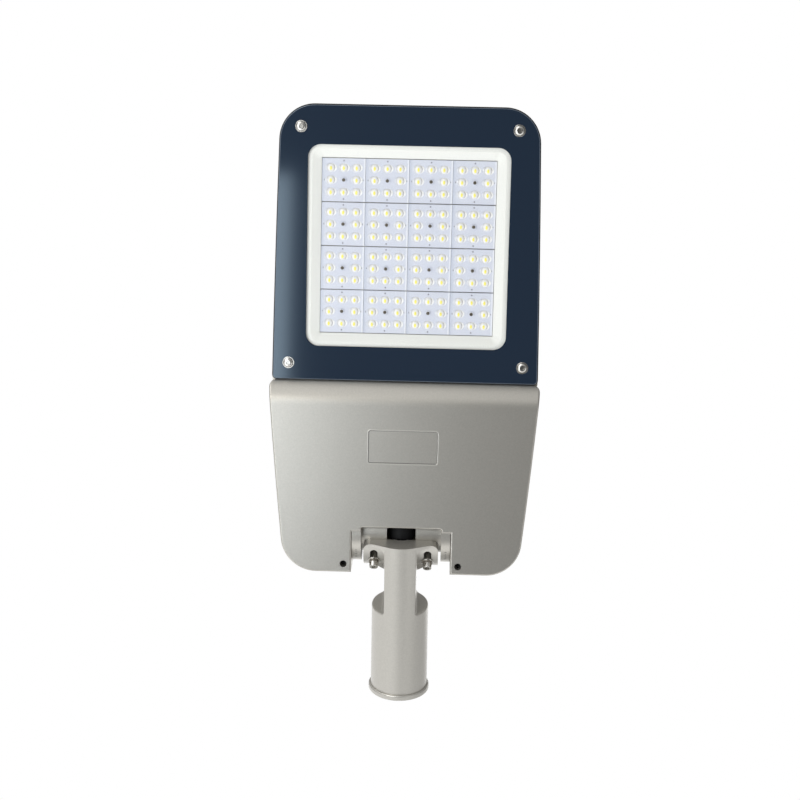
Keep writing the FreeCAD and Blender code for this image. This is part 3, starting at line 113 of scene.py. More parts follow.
class Nodes:
    """Builds the node tree of one material, or of the world."""

    MIX_FACTOR, MIX_A, MIX_B, MIX_RESULT = 0, 6, 7, 2

    def __init__(self, owner: bpy.types.Material | bpy.types.World, output: str) -> None:
        """Empties the owner's tree and gives it its output node.

        Args:
            owner: The material or the world.
            output: Type name of the output node.
        """
        owner.use_nodes = True
        self.owner = owner
        self.tree = owner.node_tree
        self.tree.nodes.clear()
        self.output = self.tree.nodes.new(output)

    @classmethod
    def for_material(cls, name: str) -> "Nodes":
        """Tree of a new material with this name."""
        return cls(bpy.data.materials.new(name), "ShaderNodeOutputMaterial")

    def add(self, kind: str, inputs: dict[str | int, Value] | None = None, **settings: str) -> bpy.types.Node:
        """Adds a node.

        Args:
            kind: The node's type name.
            inputs: Socket name or index to a constant or another node's output socket.
            **settings: Properties set on the node itself.

        Returns:
            The new node.
        """
        node = self.tree.nodes.new(kind)
        for name, value in settings.items():
            setattr(node, name, value)
        for key, value in (inputs or {}).items():
            self.set(node, key, value)
        return node

    def set(self, node: bpy.types.Node, key: str | int, value: Value) -> None:
        """Gives a socket a constant or links it.

        Args:
            node: The node that has the socket.
            key: The socket's name or index.
            value: A constant, or the output socket to link.
        """
        socket = node.inputs[key]
        if isinstance(value, bpy.types.NodeSocket):
            self.tree.links.new(value, socket)
        elif isinstance(value, tuple) and socket.type == "RGBA":
            socket.default_value = (*value, 1.0)
        else:
            socket.default_value = value

    def math(self, operation: str, a: Value, b: Value = 0.0) -> Socket:
        """Result of one math node."""
        return self.add("ShaderNodeMath", {0: a, 1: b}, operation=operation).outputs[0]

    def vector_math(self, operation: str, a: Value, b: Value) -> bpy.types.NodeOutputs:
        """Results of one vector math node."""
        return self.add("ShaderNodeVectorMath", {0: a, 1: b}, operation=operation).outputs

    def mix(self, factor: Value, a: Value, b: Value) -> Socket:
        """Mixes two colours.

        Args:
            factor: 0 for the first colour and 1 for the second.
            a: First colour.
            b: Second colour.

        Returns:
            The mixed colour.
        """
        node = self.add("ShaderNodeMix", data_type="RGBA")
        for key, value in ((self.MIX_FACTOR, factor), (self.MIX_A, a), (self.MIX_B, b)):
            self.set(node, key, value)
        return node.outputs[self.MIX_RESULT]

    def mix_shader(self, factor: Value, a: Socket, b: Socket) -> Socket:
        """Shader a at factor 0 and b at factor 1."""
        return self.add("ShaderNodeMixShader", {0: factor, 1: a, 2: b}).outputs[0]

    def noise(self, scale: float, detail: float = 2.0, roughness: float = 0.5) -> Socket:
        """Noise in object coordinates.

        Args:
            scale: Features per metre.
            detail: Number of finer layers.
            roughness: Share of the finer layers.

        Returns:
            The noise, 0 to 1.
        """
        place = self.add("ShaderNodeTexCoord").outputs["Object"]
        inputs = {"Vector": place, "Scale": scale, "Detail": detail, "Roughness": roughness}
        return self.add("ShaderNodeTexNoise", inputs).outputs["Fac"]

    def ramp(self, value: Value, between: Pair, results: Pair = (0.0, 1.0), kind: str = "LINEAR") -> Socket:
        """Maps a range of values to another and holds its ends.

        Args:
            value: What is mapped.
            between: The two values between which the result changes.
            results: The results at these two values.
            kind: LINEAR, or SMOOTHSTEP for soft ends.

        Returns:
            The mapped value.
        """
        inputs = {"Value": value, "From Min": between[0], "From Max": between[1]}
        inputs |= {"To Min": results[0], "To Max": results[1]}
        return self.add("ShaderNodeMapRange", inputs, interpolation_type=kind).outputs[0]

    def around_one(self, value: Value, swing: float) -> Socket:
        """Maps 0 to 1 to a factor that swings about 1."""
        return self.ramp(value, (0.0, 1.0), (1.0 - swing, 1.0 + swing))

    def shaded(self, color: Color, shade: Socket) -> Socket:
        """Colour multiplied by a shade."""
        return self.add("ShaderNodeVectorMath", {0: color, "Scale": shade}, operation="SCALE").outputs[0]

    def bump(self, height: Socket, strength: float, distance: float) -> Socket:
        """Normal from a height."""
        node = self.add("ShaderNodeBump", {"Height": height, "Strength": strength, "Distance": distance})
        return node.outputs["Normal"]

    def principled(self, **inputs: Value) -> Socket:
        """Principled shader; keyword names use underscores for spaces."""
        spaced = {name.replace("_", " "): value for name, value in inputs.items()}
        return self.add("ShaderNodeBsdfPrincipled", spaced).outputs[0]

    def finish(self, surface: Socket) -> bpy.types.Material | bpy.types.World:
        """Links the surface and returns the material or world."""
        self.tree.links.new(surface, self.output.inputs["Surface"])
        return self.owner


@dataclass(frozen=True)
class Finish:
    """Plain finish with a little unevenness in colour and gloss."""

    name: str
    color: Color
    roughness: float = 0.5
    metallic: float = 0.0
    specular: float = 0.5
    uneven: float = 0.03
    uneven_gloss: float = 0.08
    patch_scale: float = 18.0
    patch_detail: float = 3.0
    grain: float = 0.0
    grain_scale: float = 900.0
    grain_height: float = 0.0002

    def build(self) -> bpy.types.Material:
        """Makes the node material.

        Returns:
            The material.
        """
        nodes = Nodes.for_material(self.name)
        patches = nodes.noise(self.patch_scale, self.patch_detail)
        glossier = self.roughness * (1.0 - self.uneven_gloss)
        duller = min(1.0, self.roughness * (1.0 + self.uneven_gloss))
        inputs = {
            "Base_Color": nodes.shaded(self.color, nodes.around_one(patches, self.uneven)),
            "Metallic": self.metallic,
            "Roughness": nodes.ramp(patches, (0.0, 1.0), (glossier, duller)),
            "Specular_IOR_Level": self.specular,
        }
        if self.grain > 0.0:
            inputs["Normal"] = nodes.bump(nodes.noise(self.grain_scale), self.grain, self.grain_height)
        return nodes.finish(nodes.principled(**inputs))


@dataclass(frozen=True)
class PowderCoat:
    """Silver-grey powder coat: metallic flakes under a fine sandy grain."""

    name: str
    color: Color = (0.46, 0.438, 0.395)
    roughness: float = 0.35
    metallic: float = 0.80
    sand_scale: float = 560.0
    sand_detail: float = 3.0
    sand_roughness: float = 0.7
    sand_shade: float = 0.14
    sand_bump: float = 0.25
    sand_height: float = 0.0003
    cloud_scale: float = 9.0
    cloud_shade: float = 0.015

    def build(self) -> bpy.types.Material:
        """Makes the node material.

        Returns:
            The material.
        """
        nodes = Nodes.for_material(self.name)
        sand = nodes.noise(self.sand_scale, self.sand_detail, self.sand_roughness)
        cloud = nodes.noise(self.cloud_scale)
        sandy = nodes.around_one(sand, self.sand_shade)
        shade = nodes.math("MULTIPLY", sandy, nodes.around_one(cloud, self.cloud_shade))
        surface = nodes.principled(
            Base_Color=nodes.shaded(self.color, shade),
            Metallic=self.metallic,
            Roughness=self.roughness,
            Normal=nodes.bump(sand, self.sand_bump, self.sand_height),
        )
        return nodes.finish(surface)


@dataclass(frozen=True)
class PrintedGlass:
    """Clear glass with a dark print round a square window and a paler colour on its edge faces, a painted
    highlight for the light line along the edge.
    """

    name: str
    window_centre: Vector
    window_half: float = 115.5
    window_r: float = 15.0
    ink: Color = (0.016, 0.026, 0.044)
    ink_roughness: float = 0.09
    ink_specular: float = 0.9
    ink_tint: Color = (0.76, 0.91, 1.0)
    # Paler colour of the edge faces: painted highlight.
    edge: Color = (0.16, 0.19, 0.24)
    edge_facing: float = 0.93
    pane: Color = (0.974, 0.974, 0.970)
    pane_roughness: float = 0.02
    pane_shine: Pair = (0.012, 1.0)
    slant_power: float = 5.0

    def build(self) -> bpy.types.Material:
        """Makes the node material.

        Returns:
            The material.
        """
        nodes = Nodes.for_material(self.name)
        window = self._window(nodes)
        normal = nodes.add("ShaderNodeNewGeometry").outputs["True Normal"]
        across = nodes.vector_math("DOT_PRODUCT", normal, HEAD.front)["Value"]
        # Faces turned away from the front get the paler edge colour, a painted highlight.
        edge_faces = nodes.math("LESS_THAN", nodes.math("ABSOLUTE", across), self.edge_facing)
        printed = nodes.principled(
            Base_Color=nodes.mix(edge_faces, self.ink, self.edge),
            Roughness=self.ink_roughness,
            Specular_IOR_Level=self.ink_specular,
            Specular_Tint=self.ink_tint,
        )
        see = nodes.add("ShaderNodeBsdfTransparent", {"Color": self.pane}).outputs[0]
        gloss = {"Color": (1.0, 1.0, 1.0), "Roughness": self.pane_roughness}
        shine = nodes.add("ShaderNodeBsdfGlossy", gloss).outputs[0]
        aslant = nodes.add("ShaderNodeLayerWeight", {"Blend": 0.5}).outputs["Facing"]
        mirrors = nodes.ramp(nodes.math("POWER", aslant, self.slant_power), (0.0, 1.0), self.pane_shine)
        return nodes.finish(nodes.mix_shader(window, printed, nodes.mix_shader(mirrors, see, shine)))

    def _window(self, nodes: Nodes) -> Socket:
        """1 inside the window with its round corners, 0 on the print.

        Args:
            nodes: The material's tree.

        Returns:
            The mask.
        """
        place = nodes.add("ShaderNodeTexCoord").outputs["Object"]
        local = nodes.vector_math("SUBTRACT", place, self.window_centre)[0]
        upright = {"Vector": local, "Angle": math.radians(HEAD.tilt_deg)}
        turned = nodes.add("ShaderNodeVectorRotate", upright, rotation_type="X_AXIS").outputs[0]
        split = nodes.add("ShaderNodeSeparateXYZ", {0: turned})
        inner = (self.window_half - self.window_r) * MM
        squares = []
        for axis in ("X", "Z"):
            off = nodes.math("SUBTRACT", nodes.math("ABSOLUTE", split.outputs[axis]), inner)
            squares.append(nodes.math("POWER", nodes.math("MAXIMUM", off, 0.0), 2.0))
        reach = nodes.math("SQRT", nodes.math("ADD", *squares))
        return nodes.math("LESS_THAN", reach, self.window_r * MM)


@dataclass(frozen=True)
class LensPlastic:
    """Moulded lens plate: bluish white plate, clear domes and the yellow chips seen in them.

    The mesh carries the place of each point from its lens's or plate's middle in millimetres (u, v), and
    which of the two it belongs to (lens). A fade is the pair of values between which a mask rises from 0 to 1.
    """

    name: str
    roughness: float = 0.16
    specular: float = 0.45
    dome: Color = (0.93, 0.92, 0.91)
    dome_half: Pair = (4.2, 4.6)
    # The grey crescents are painted shade for how the lens's steep sides bend the light.
    crescent_shade: Color = (0.44, 0.42, 0.44)
    crescent_at: float = 1.02
    crescent_fade: Pair = (0.15, 0.03)
    crescent_side_fade: Pair = (1.6, 3.8)
    crescent_left_share: float = 0.7
    # The wing's greyer left side is painted shade and its white right side painted light.
    wing_left_shade: Color = (0.70, 0.72, 0.78)
    wing_right_lit: Color = (1.0, 1.0, 1.0)
    wing_fade: Pair = (1.0, 1.12)
    wing_side_fade: Pair = (-2.0, 2.0)
    chip: Color = (1.0, 0.90, 0.20)
    chip_half: Pair = (1.4, 2.35)
    chip_drop: float = 0.5
    chip_fade: Pair = (1.12, 0.85)
    plate: Color = (0.71, 0.735, 0.83)
    plate_half: float = 24.8
    # Light strip at the right edge: painted highlight; darker strip at the left edge: painted shade.
    right_edge_highlight: Color = (0.87, 0.89, 0.96)
    light_strip_fade: Pair = (2.4, 1.2)
    left_edge_shade: Color = (0.57, 0.61, 0.72)
    dark_strip_fade: Pair = (4.0, 1.0)
    dark_strip_share: float = 0.6
    pin: Color = (0.20, 0.20, 0.24)
    pin_to_edge: float = 3.0
    pin_r: float = 0.95
    pin_fade: Pair = (1.2, 0.6)
    pin_share: float = 0.9

    def build(self) -> bpy.types.Material:
        """Makes the node material.

        Returns:
            The material.
        """
        nodes = Nodes.for_material(self.name)
        names = ("lens", "u", "v")
        lens, u, v = (nodes.add("ShaderNodeAttribute", attribute_name=name).outputs["Fac"] for name in names)
        color = nodes.mix(lens, self._plate(nodes, u, v), self._lens(nodes, u, v))
        gloss = {"Roughness": self.roughness, "Specular_IOR_Level": self.specular}
        return nodes.finish(nodes.principled(Base_Color=color, **gloss))

    def _reach(self, nodes: Nodes, u: Socket, v: Socket, half: Pair) -> Socket:
        """Distance from the middle, 1 on an ellipse.

        Args:
            nodes: The material's tree.
            u: Place across.
            v: Place along.
            half: Half axes of the ellipse.

        Returns:
            The distance.
        """
        across = nodes.math("POWER", nodes.math("DIVIDE", u, half[0]), 2.0)
        along = nodes.math("POWER", nodes.math("DIVIDE", v, half[1]), 2.0)
        return nodes.math("SQRT", nodes.math("ADD", across, along))

    def _lens(self, nodes: Nodes, u: Socket, v: Socket) -> Socket:
        """Bright dome, a yellow chip in it, grey crescents at its sides that are painted shade, and a wing
        painted lit white to the right and shaded grey to the left.

        Args:
            nodes: The material's tree.
            u: Place across, from the lens's middle.
            v: Place along, from the lens's middle.

        Returns:
            The colour of the lens.
        """
        reach = self._reach(nodes, u, v, self.dome_half)
        off_ring = nodes.math("ABSOLUTE", nodes.math("SUBTRACT", reach, self.crescent_at))
        near, far = self.crescent_side_fade
        left = nodes.math("MULTIPLY", nodes.ramp(u, (-near, -far)), self.crescent_left_share)
        sides = nodes.math("ADD", nodes.ramp(u, (near, far)), left)
        crescent_shades = nodes.math("MULTIPLY", nodes.ramp(off_ring, self.crescent_fade), sides)
        wing = nodes.mix(nodes.ramp(u, self.wing_side_fade), self.wing_left_shade, self.wing_right_lit)
        base = nodes.mix(nodes.ramp(reach, self.wing_fade), self.dome, wing)
        low = nodes.math("ADD", v, self.chip_drop)
        chip = nodes.ramp(self._reach(nodes, u, low, self.chip_half), self.chip_fade)
        return nodes.mix(chip, nodes.mix(crescent_shades, base, self.crescent_shade), self.chip)

    def _plate(self, nodes: Nodes, u: Socket, v: Socket) -> Socket:
        """Plate with four pin dots, a light strip at its right edge as painted highlight and a darker one at
        its left as painted shade.

        Args:
            nodes: The material's tree.
            u: Place across, from the plate's middle.
            v: Place along, from the plate's middle.

        Returns:
            The colour of the plate.
        """
        right = tuple(self.plate_half - edge for edge in self.light_strip_fade)
        left = tuple(edge - self.plate_half for edge in self.dark_strip_fade)
        base = nodes.mix(nodes.ramp(u, right), self.plate, self.right_edge_highlight)
        dark = nodes.math("MULTIPLY", nodes.ramp(u, left), self.dark_strip_share)
        base = nodes.mix(dark, base, self.left_edge_shade)
        dots = []
        for across, along in ((u, v), (v, u)):
            off = nodes.math("SUBTRACT", nodes.math("ABSOLUTE", across), self.plate_half - self.pin_to_edge)
            dots.append(nodes.ramp(self._reach(nodes, off, along, (self.pin_r, self.pin_r)), self.pin_fade))
        pins = nodes.math("MAXIMUM", *dots)
        return nodes.mix(nodes.math("MULTIPLY", pins, self.pin_share), base, self.pin)


class Finishes:
    """Every finish of the lamp, built once."""

    def __init__(self) -> None:
        """Builds the materials."""
        self.powder = PowderCoat("powder_coat").build()
        self.spigot_powder = PowderCoat("spigot_coat", (0.455, 0.435, 0.395), metallic=0.55).build()
        self.mark = Finish("mark_grey", (0.12, 0.12, 0.11), 0.6).build()
        self.rubber = Finish("rubber", (0.012, 0.012, 0.013), 0.62, uneven=0.1, grain=0.15).build()
        steel = (0.62, 0.60, 0.56)
        self.steel = Finish("stainless", steel, 0.26, 1.0, grain=0.05, grain_scale=2500.0).build()
        # Near-black screws: partly their own colour, partly painted shade for the deep holes they sit in.
        self.black_steel = Finish("black_steel", (0.02, 0.02, 0.02), 0.5, 0.6).build()
        self.dark_screw = Finish("dark_screw", (0.16, 0.14, 0.115), 0.3, 0.3).build()
        # Paler coat for the bead round the label recess: painted highlight.
        self.bead_highlight = Finish("bead_highlight", (0.50, 0.48, 0.44), 0.34, 0.7).build()
        # Dark grey line in the label recess's corner: painted shade.
        self.recess_corner_shade = Finish("recess_corner_shade", (0.19, 0.185, 0.17), 0.5, 0.4).build()
        self.frame_white = Finish("frame_white", (0.92, 0.92, 0.88), 0.45, uneven=0.01).build()
        self.board_white = Finish("board_white", (0.80, 0.84, 0.90), 0.45).build()
        self.phosphor = Finish("phosphor", (0.95, 0.78, 0.10), 0.35).build()
        self.lens = LensPlastic("lens_plastic").build()
        self.zinc = Finish("zinc_sheet", (0.55, 0.56, 0.57), 0.35, 0.9, grain=0.1).build()
        self.driver = Finish("driver_case", (0.42, 0.43, 0.45), 0.4, 0.7, grain=0.1).build()
        self.pale_plastic = Finish("pale_plastic", (0.66, 0.66, 0.62), 0.5).build()
        self.black_plastic = Finish("black_plastic", (0.006, 0.006, 0.0065), 0.6, specular=0.2).build()
        self.glass = PrintedGlass("printed_glass", HEAD.point(0.0, Y_GLASS + 2.0, Z_WINDOW)).build()

    def for_slot(self) -> dict[str, bpy.types.Material]:
        """Finishes by the record's slots.

        Returns:
            Slot name to material.
        """
        return {
            "painted_casting": self.powder,
            "black_rubber": self.rubber,
            "stainless": self.steel,
            "black_steel": self.black_steel,
            "printed_glass": self.glass,
            "white_plastic": self.frame_white,
            "clear_plastic": self.lens,
            "board_white": self.board_white,
            "led_yellow": self.phosphor,
            "zinc_sheet": self.zinc,
            "driver_case": self.driver,
            "surge_case": self.pale_plastic,
            "terminal_plastic": self.pale_plastic,
            "black_plastic": self.black_plastic,
        }

    def for_node(self) -> dict[str, bpy.types.Material]:
        """Finishes of the nodes that differ from their slot.

        Returns:
            Node name to material.
        """
        return {
            "module_screws": self.dark_screw,
            # The spring washers' dark finish is partly their own colour and partly painted shade for the gap
            # under the clamp screws' heads.
            "spring_washers": self.dark_screw,
            "spigot": self.spigot_powder,
        }


@dataclass
class CadNodes:
    """Gives every CAD node the finish of its record slot, or its own."""

    finishes: Finishes

    def build(self) -> None:
        """Sets the materials."""
        by_slot = self.finishes.for_slot()
        by_node = self.finishes.for_node()
        for part in frame["record"]["subparts"]:
            node = frame["nodes"][part["node"]]
            node.data.materials.clear()
            node.data.materials.append(by_node.get(part["node"], by_slot[part["material_slot"]]))


def mesh_object(
    name: str, bm: bmesh.types.BMesh, material: bpy.types.Material, body: Body
) -> bpy.types.Object:
    """Turns a finished mesh into a piece that rides on a body.

    Args:
        name: Piece name.
        bm: Geometry in the row frame, in metres. It is freed.
        material: The finish.
        body: The body it moves with.

    Returns:
        The new object.
    """
    mesh = bpy.data.meshes.new(name)
    bm.to_mesh(mesh)
    bm.free()
    mesh.materials.append(material)
    piece = bpy.data.objects.new(name, mesh)
    bpy.context.scene.collection.objects.link(piece)
    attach(piece, body.value)
    LOG.info("made %s, %d faces", name, len(mesh.polygons))
    return piece


def add_box(bm: bmesh.types.BMesh, size: Point, place: Matrix) -> list[bmesh.types.BMVert]:
    """Adds a box about a place's origin.

    Args:
        bm: The mesh that gets the box.
        size: Lengths along x, y and z.
        place: Where its middle goes and how it is turned.

    Returns:
        The box's corners.
    """
    made = bmesh.ops.create_cube(bm, size=1.0)["verts"]
    bmesh.ops.transform(bm, matrix=place @ Matrix.Diagonal((*size, 1.0)), verts=made)
    return made


def add_ring(bm: bmesh.types.BMesh, x: float, z: float, section: list[Pair], steps: int) -> None:
    """Adds a closed ring round an axis along y in head coordinates.

    Args:
        bm: The mesh that gets the ring.
        x: The axis's place to the right.
        z: The axis's place up the head.
        section: Corners of the ring's section as (radius, y).
        steps: Number of sections round the ring.
    """
    others = set(bm.faces)
    corners = [bm.verts.new((x + r, y, z)) for r, y in section]
    sides = [bm.edges.new(pair) for pair in zip(corners, corners[1:] + corners[:1])]
    axis = {"cent": (x, 0.0, z), "axis": (0.0, -1.0, 0.0)}
    bmesh.ops.spin(bm, geom=corners + sides, angle=2 * math.pi, steps=steps, use_merge=True, **axis)
    bmesh.ops.recalc_face_normals(bm, faces=[face for face in bm.faces if face not in others])


def join_rows(bm: bmesh.types.BMesh, rows: list[list[bmesh.types.BMVert]]) -> None:
    """Joins sections into a closed ring of faces that point outwards.

    Args:
        bm: The mesh that has the sections.
        rows: The sections in order, each a loop of vertices.
    """
    faces = []
    for row, after in zip(rows, rows[1:] + rows[:1]):
        for i in range(len(row)):
            j = (i + 1) % len(row)
            faces.append(bm.faces.new((row[i], row[j], after[j], after[i])))
    bmesh.ops.recalc_face_normals(bm, faces=faces)


def washer_section(inner_r: float, outer_r: float, back: float, front: float, round_off: float) -> list[Pair]:
    """Section of a washer with a rounded outer edge in front.

    Args:
        inner_r: Radius of the hole.
        outer_r: Outer radius.
        back: Place of its back along y.
        front: Place of its front along y.
        round_off: Size of the bevel.

    Returns:
        Corners as (radius, y).
    """
    outer = [(outer_r - round_off, front), (outer_r, front + round_off), (outer_r, back)]
    return [(inner_r, back), (inner_r, front), *outer]


@dataclass
class LensModule:
    """One moulded plate of eight lenses, drawn finer than the CAD node it stands for.

    The plate's bevelled edges are flat shaded and all small faces of the lenses smooth.
    """

    node: str
    x: float
    z: float
    material: bpy.types.Material
    plate_half: Pair = (24.85, 24.65)
    plate_bevel: float = 0.4
    y_front: float = -12.0
    y_back: float = -9.0
    pitch: Pair = (14.7, 13.8)
    wing: Point = (7.1, 4.8, 1.7)
    dome: Point = (4.1, 4.5, 3.9)
    collar: tuple[Pair, ...] = ((3.1, 0.2), (3.1, -1.6), (2.8, -1.95), (2.05, -1.95), (1.95, -1.4))
    collar_steps: int = 24
    rings: int = 12
    steps: int = 36
    small_face_m2: float = 4e-6

    def build(self) -> None:
        """Makes the module and hides the CAD node."""
        bm = bmesh.new()
        layers = [bm.verts.layers.float.new(name) for name in ("u", "v", "lens")]
        self._plate(bm)
        add_ring(bm, self.x, self.z, [(r, self.y_front + y) for r, y in self.collar], self.collar_steps)
        for vert in bm.verts:
            for layer, value in zip(layers, (vert.co.x - self.x, vert.co.z - self.z, 0.0)):
                vert[layer] = value
        for i in (-1, 0, 1):
            for k in (-1, 0, 1):
                if (i, k) != (0, 0):
                    self._lens(bm, self.x + i * self.pitch[0], self.z + k * self.pitch[1], layers)
        bmesh.ops.transform(bm, matrix=HEAD.matrix, verts=bm.verts)
        piece = mesh_object(f"lens_module_{self.node[-3:]}", bm, self.material, Body.HEAD)
        for polygon in piece.data.polygons:
            polygon.use_smooth = len(polygon.vertices) != 4 or polygon.area < self.small_face_m2
        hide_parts(self.node)

    def _plate(self, bm: bmesh.types.BMesh) -> None:
        """Adds the plate with small bevels.

        Args:
            bm: The module's mesh.
        """
        size = (2 * self.plate_half[0], self.y_back - self.y_front, 2 * self.plate_half[1])
        middle = Matrix.Translation(Vector((self.x, (self.y_front + self.y_back) / 2, self.z)))
        edges = list({edge for vert in add_box(bm, size, middle) for edge in vert.link_edges})
        bevel = {"offset": self.plate_bevel, "affect": "EDGES", "segments": 2, "profile": 0.5, "material": -1}
        bmesh.ops.bevel(bm, geom=edges, **bevel)

    def _lens(self, bm: bmesh.types.BMesh, x: float, z: float, layers: list) -> None:
        """Adds one lens: the outer surface of a low wide oval and a higher round dome.

        Args:
            bm: The module's mesh.
            x: The lens's middle to the right.
            z: The lens's middle up the head.
            layers: The mesh's layers u, v and lens.
        """
        rows = []
        for ring in range(self.rings + 1):
            share = math.sin(math.pi / 2 * ring / self.rings)
            row = []
            for step in range(self.steps if ring else 1):
                angle = 2 * math.pi * step / self.steps
                dx = self.wing[0] * share * math.cos(angle)
                dz = self.wing[1] * share * math.sin(angle)
                height = max(self._height(self.wing, dx, dz), self._height(self.dome, dx, dz))
                vert = bm.verts.new((x + dx, self.y_front - height, z + dz))
                for layer, value in zip(layers, (dx, dz, 1.0)):
                    vert[layer] = value
                row.append(vert)
            rows.append(row)
        for step in range(self.steps):
            after = (step + 1) % self.steps
            bm.faces.new((rows[0][0], rows[1][step], rows[1][after]))
            for near, far in zip(rows[1:], rows[2:]):
                bm.faces.new((near[step], far[step], far[after], near[after]))

    def _height(self, cap: Point, dx: float, dz: float) -> float:
        """Height of a cap, given by its half axes and its height, over the plate."""
        inside = 1.0 - (dx / cap[0]) ** 2 - (dz / cap[1]) ** 2
        return cap[2] * math.sqrt(max(0.0, inside))


@dataclass
class LensField:
    """All sixteen modules in their rows."""

    finishes: Finishes
    rows: int = 4
    columns: int = 4
    pitch_x: float = 50.0
    pitch_z: float = 50.3

    def build(self) -> None:
        """Makes the modules."""
        for row in range(self.rows):
            for column in range(self.columns):
                x = (column - (self.columns - 1) / 2) * self.pitch_x
                z = Z_WINDOW - (row - (self.rows - 1) / 2) * self.pitch_z
                LensModule(f"lens_plate_{row + 1}_{column + 1}", x, z, self.finishes.lens).build()


@dataclass
class TiltMarks:
    """Fine raised marks on the round bosses, five degrees apart, every other one shorter."""

    finishes: Finishes
    boss_r: float = 37.5
    x: float = 52.5
    length: float = 2.6
    short_share: float = 0.6
    width: float = 0.7
    proud: float = 0.12
    first_deg: float = 30.0
    step_deg: float = 5.0
    count: int = 5

    def build(self) -> None:
        """Makes the marks of both bosses as one piece."""
        bm = bmesh.new()
        for side in (-1.0, 1.0):
            for k in range(self.count):
                length = self.length if k % 2 == 0 else self.length * self.short_share
                out = Matrix.Translation(Vector((side * self.x, -self.boss_r, 0.0)))
                turn = Matrix.Rotation(math.radians(self.first_deg + k * self.step_deg), 4, "X")
                add_box(bm, (length, 2 * self.proud, self.width), turn @ out)
        bmesh.ops.transform(bm, matrix=HEAD.matrix, verts=bm.verts)
        mesh_object("tilt_marks", bm, self.finishes.mark, Body.HEAD)


@dataclass
class LabelRim:
    """Edge of the label recess: a fine rounded bead round it, a little paler than the coat as a painted
    highlight, and a dark line in its corner that is painted shade.
    """

    finishes: Finishes
    half_x: float = 40.25
    half_z: float = 19.25
    corner_r: float = 2.5
    corner_steps: int = 7
    z: float = 106.0
    depth: float = 0.8
    bead_half_w: float = 0.6
    bead_h: float = 0.2
    bead_steps: int = 6
    line_span: Pair = (-0.9, -0.02)
    line_h: float = 0.06
    line_sunk: float = 0.05

    def build(self) -> None:
        """Makes the bead and the line."""
        arc = [math.pi * k / self.bead_steps for k in range(self.bead_steps + 1)]
        bead = [(self.bead_half_w * (1 - math.cos(a)), Y_COVER - self.bead_h * math.sin(a)) for a in arc]
        # The bead's paler finish is a painted highlight.
        self._ring("label_bead", bead, self.finishes.bead_highlight)
        # The dark line on the recess floor along its walls is painted shade.
        floor = Y_COVER + self.depth
        inner, outer = self.line_span
        low, high = floor + self.line_sunk, floor - self.line_h
        line = [(inner, low), (inner, high), (outer, high), (outer, low)]
        self._ring("label_corner_shade", line, self.finishes.recess_corner_shade)

    def _ring(self, name: str, section: list[Pair], material: bpy.types.Material) -> None:
        """Sweeps a section round the recess and closes it.

        Args:
            name: Piece name.
            section: Corners as (distance outwards, y).
            material: The finish.
        """
        bm = bmesh.new()
        rows = []
        for corner, (side_x, side_z) in enumerate(((1.0, 1.0), (-1.0, 1.0), (-1.0, -1.0), (1.0, -1.0))):
            mid_x = side_x * (self.half_x - self.corner_r)
            mid_z = self.z + side_z * (self.half_z - self.corner_r)
            for step in range(self.corner_steps + 1):
                turn = math.pi / 2 * (corner + step / self.corner_steps)
                across, along = math.cos(turn), math.sin(turn)
                row = []
                for out, y in section:
                    reach = self.corner_r + out
                    row.append(bm.verts.new((mid_x + reach * across, y, mid_z + reach * along)))
                rows.append(row)
        join_rows(bm, rows)
        bmesh.ops.transform(bm, matrix=HEAD.matrix, verts=bm.verts)
        mesh_object(name, bm, material, Body.HEAD)


@dataclass
class BossBlends:
    """Paint-filled seam where the cover runs on into the two round bosses."""

    finishes: Finishes
    x_span: Pair = (47.2, 60.0)
    top: Pair = (-38.02, 8.2)
    foot: Pair = (-37.5, 4.4)
    y_back: float = -36.2
    bevel: float = 0.08

    def build(self) -> None:
        """Makes both blends as one piece: each an outline in (y, z) drawn out along x."""
        bm = bmesh.new()
        near, far = self.x_span
        outline = ((self.y_back, self.foot[1]), self.foot, self.top, (self.y_back, self.top[1]))
        for side in (-1.0, 1.0):
            end = bm.faces.new([bm.verts.new((side * near, y, z)) for y, z in outline])
            drawn = bmesh.ops.extrude_face_region(bm, geom=[end])["geom"]
            corners = [item for item in drawn if isinstance(item, bmesh.types.BMVert)]
            bmesh.ops.translate(bm, vec=Vector((side * (far - near), 0.0, 0.0)), verts=corners)
        bmesh.ops.recalc_face_normals(bm, faces=bm.faces)
        bevel = {"offset": self.bevel, "affect": "EDGES", "segments": 2, "profile": 0.5, "material": -1}
        bmesh.ops.bevel(bm, geom=bm.edges[:], **bevel)
        bmesh.ops.transform(bm, matrix=HEAD.matrix, verts=bm.verts)
        mesh_object("boss_blends", bm, self.finishes.powder, Body.HEAD)


@dataclass
class GlassWashers:
    """Thin steel washers seen round the heads of the four glass screws."""

    finishes: Finishes
    inner_r: float = 5.7
    outer_r: float = 6.8
    thickness: float = 0.8
    round_off: float = 0.3
    steps: int = 40

    def build(self) -> None:
        """Makes the four washers as one piece, round the screws' own middles."""
        bm = bmesh.new()
        to_head = HEAD.matrix.inverted()
        points = [to_head @ vert.co for vert in frame["nodes"]["glass_screws"].data.vertices]
        front = Y_GLASS - self.thickness
        section = washer_section(self.inner_r, self.outer_r, Y_GLASS, front, self.round_off)
        for right in (False, True):
            for far in (False, True):
                own = [p for p in points if (p.x > 0) == right and (p.z > Z_WINDOW) == far]
                x, z = (sum(p[axis] for p in own) / len(own) for axis in (0, 2))
                add_ring(bm, x, z, section, self.steps)
        bmesh.ops.transform(bm, matrix=HEAD.matrix, verts=bm.verts)
        mesh_object("glass_washers", bm, self.finishes.steel, Body.HEAD)


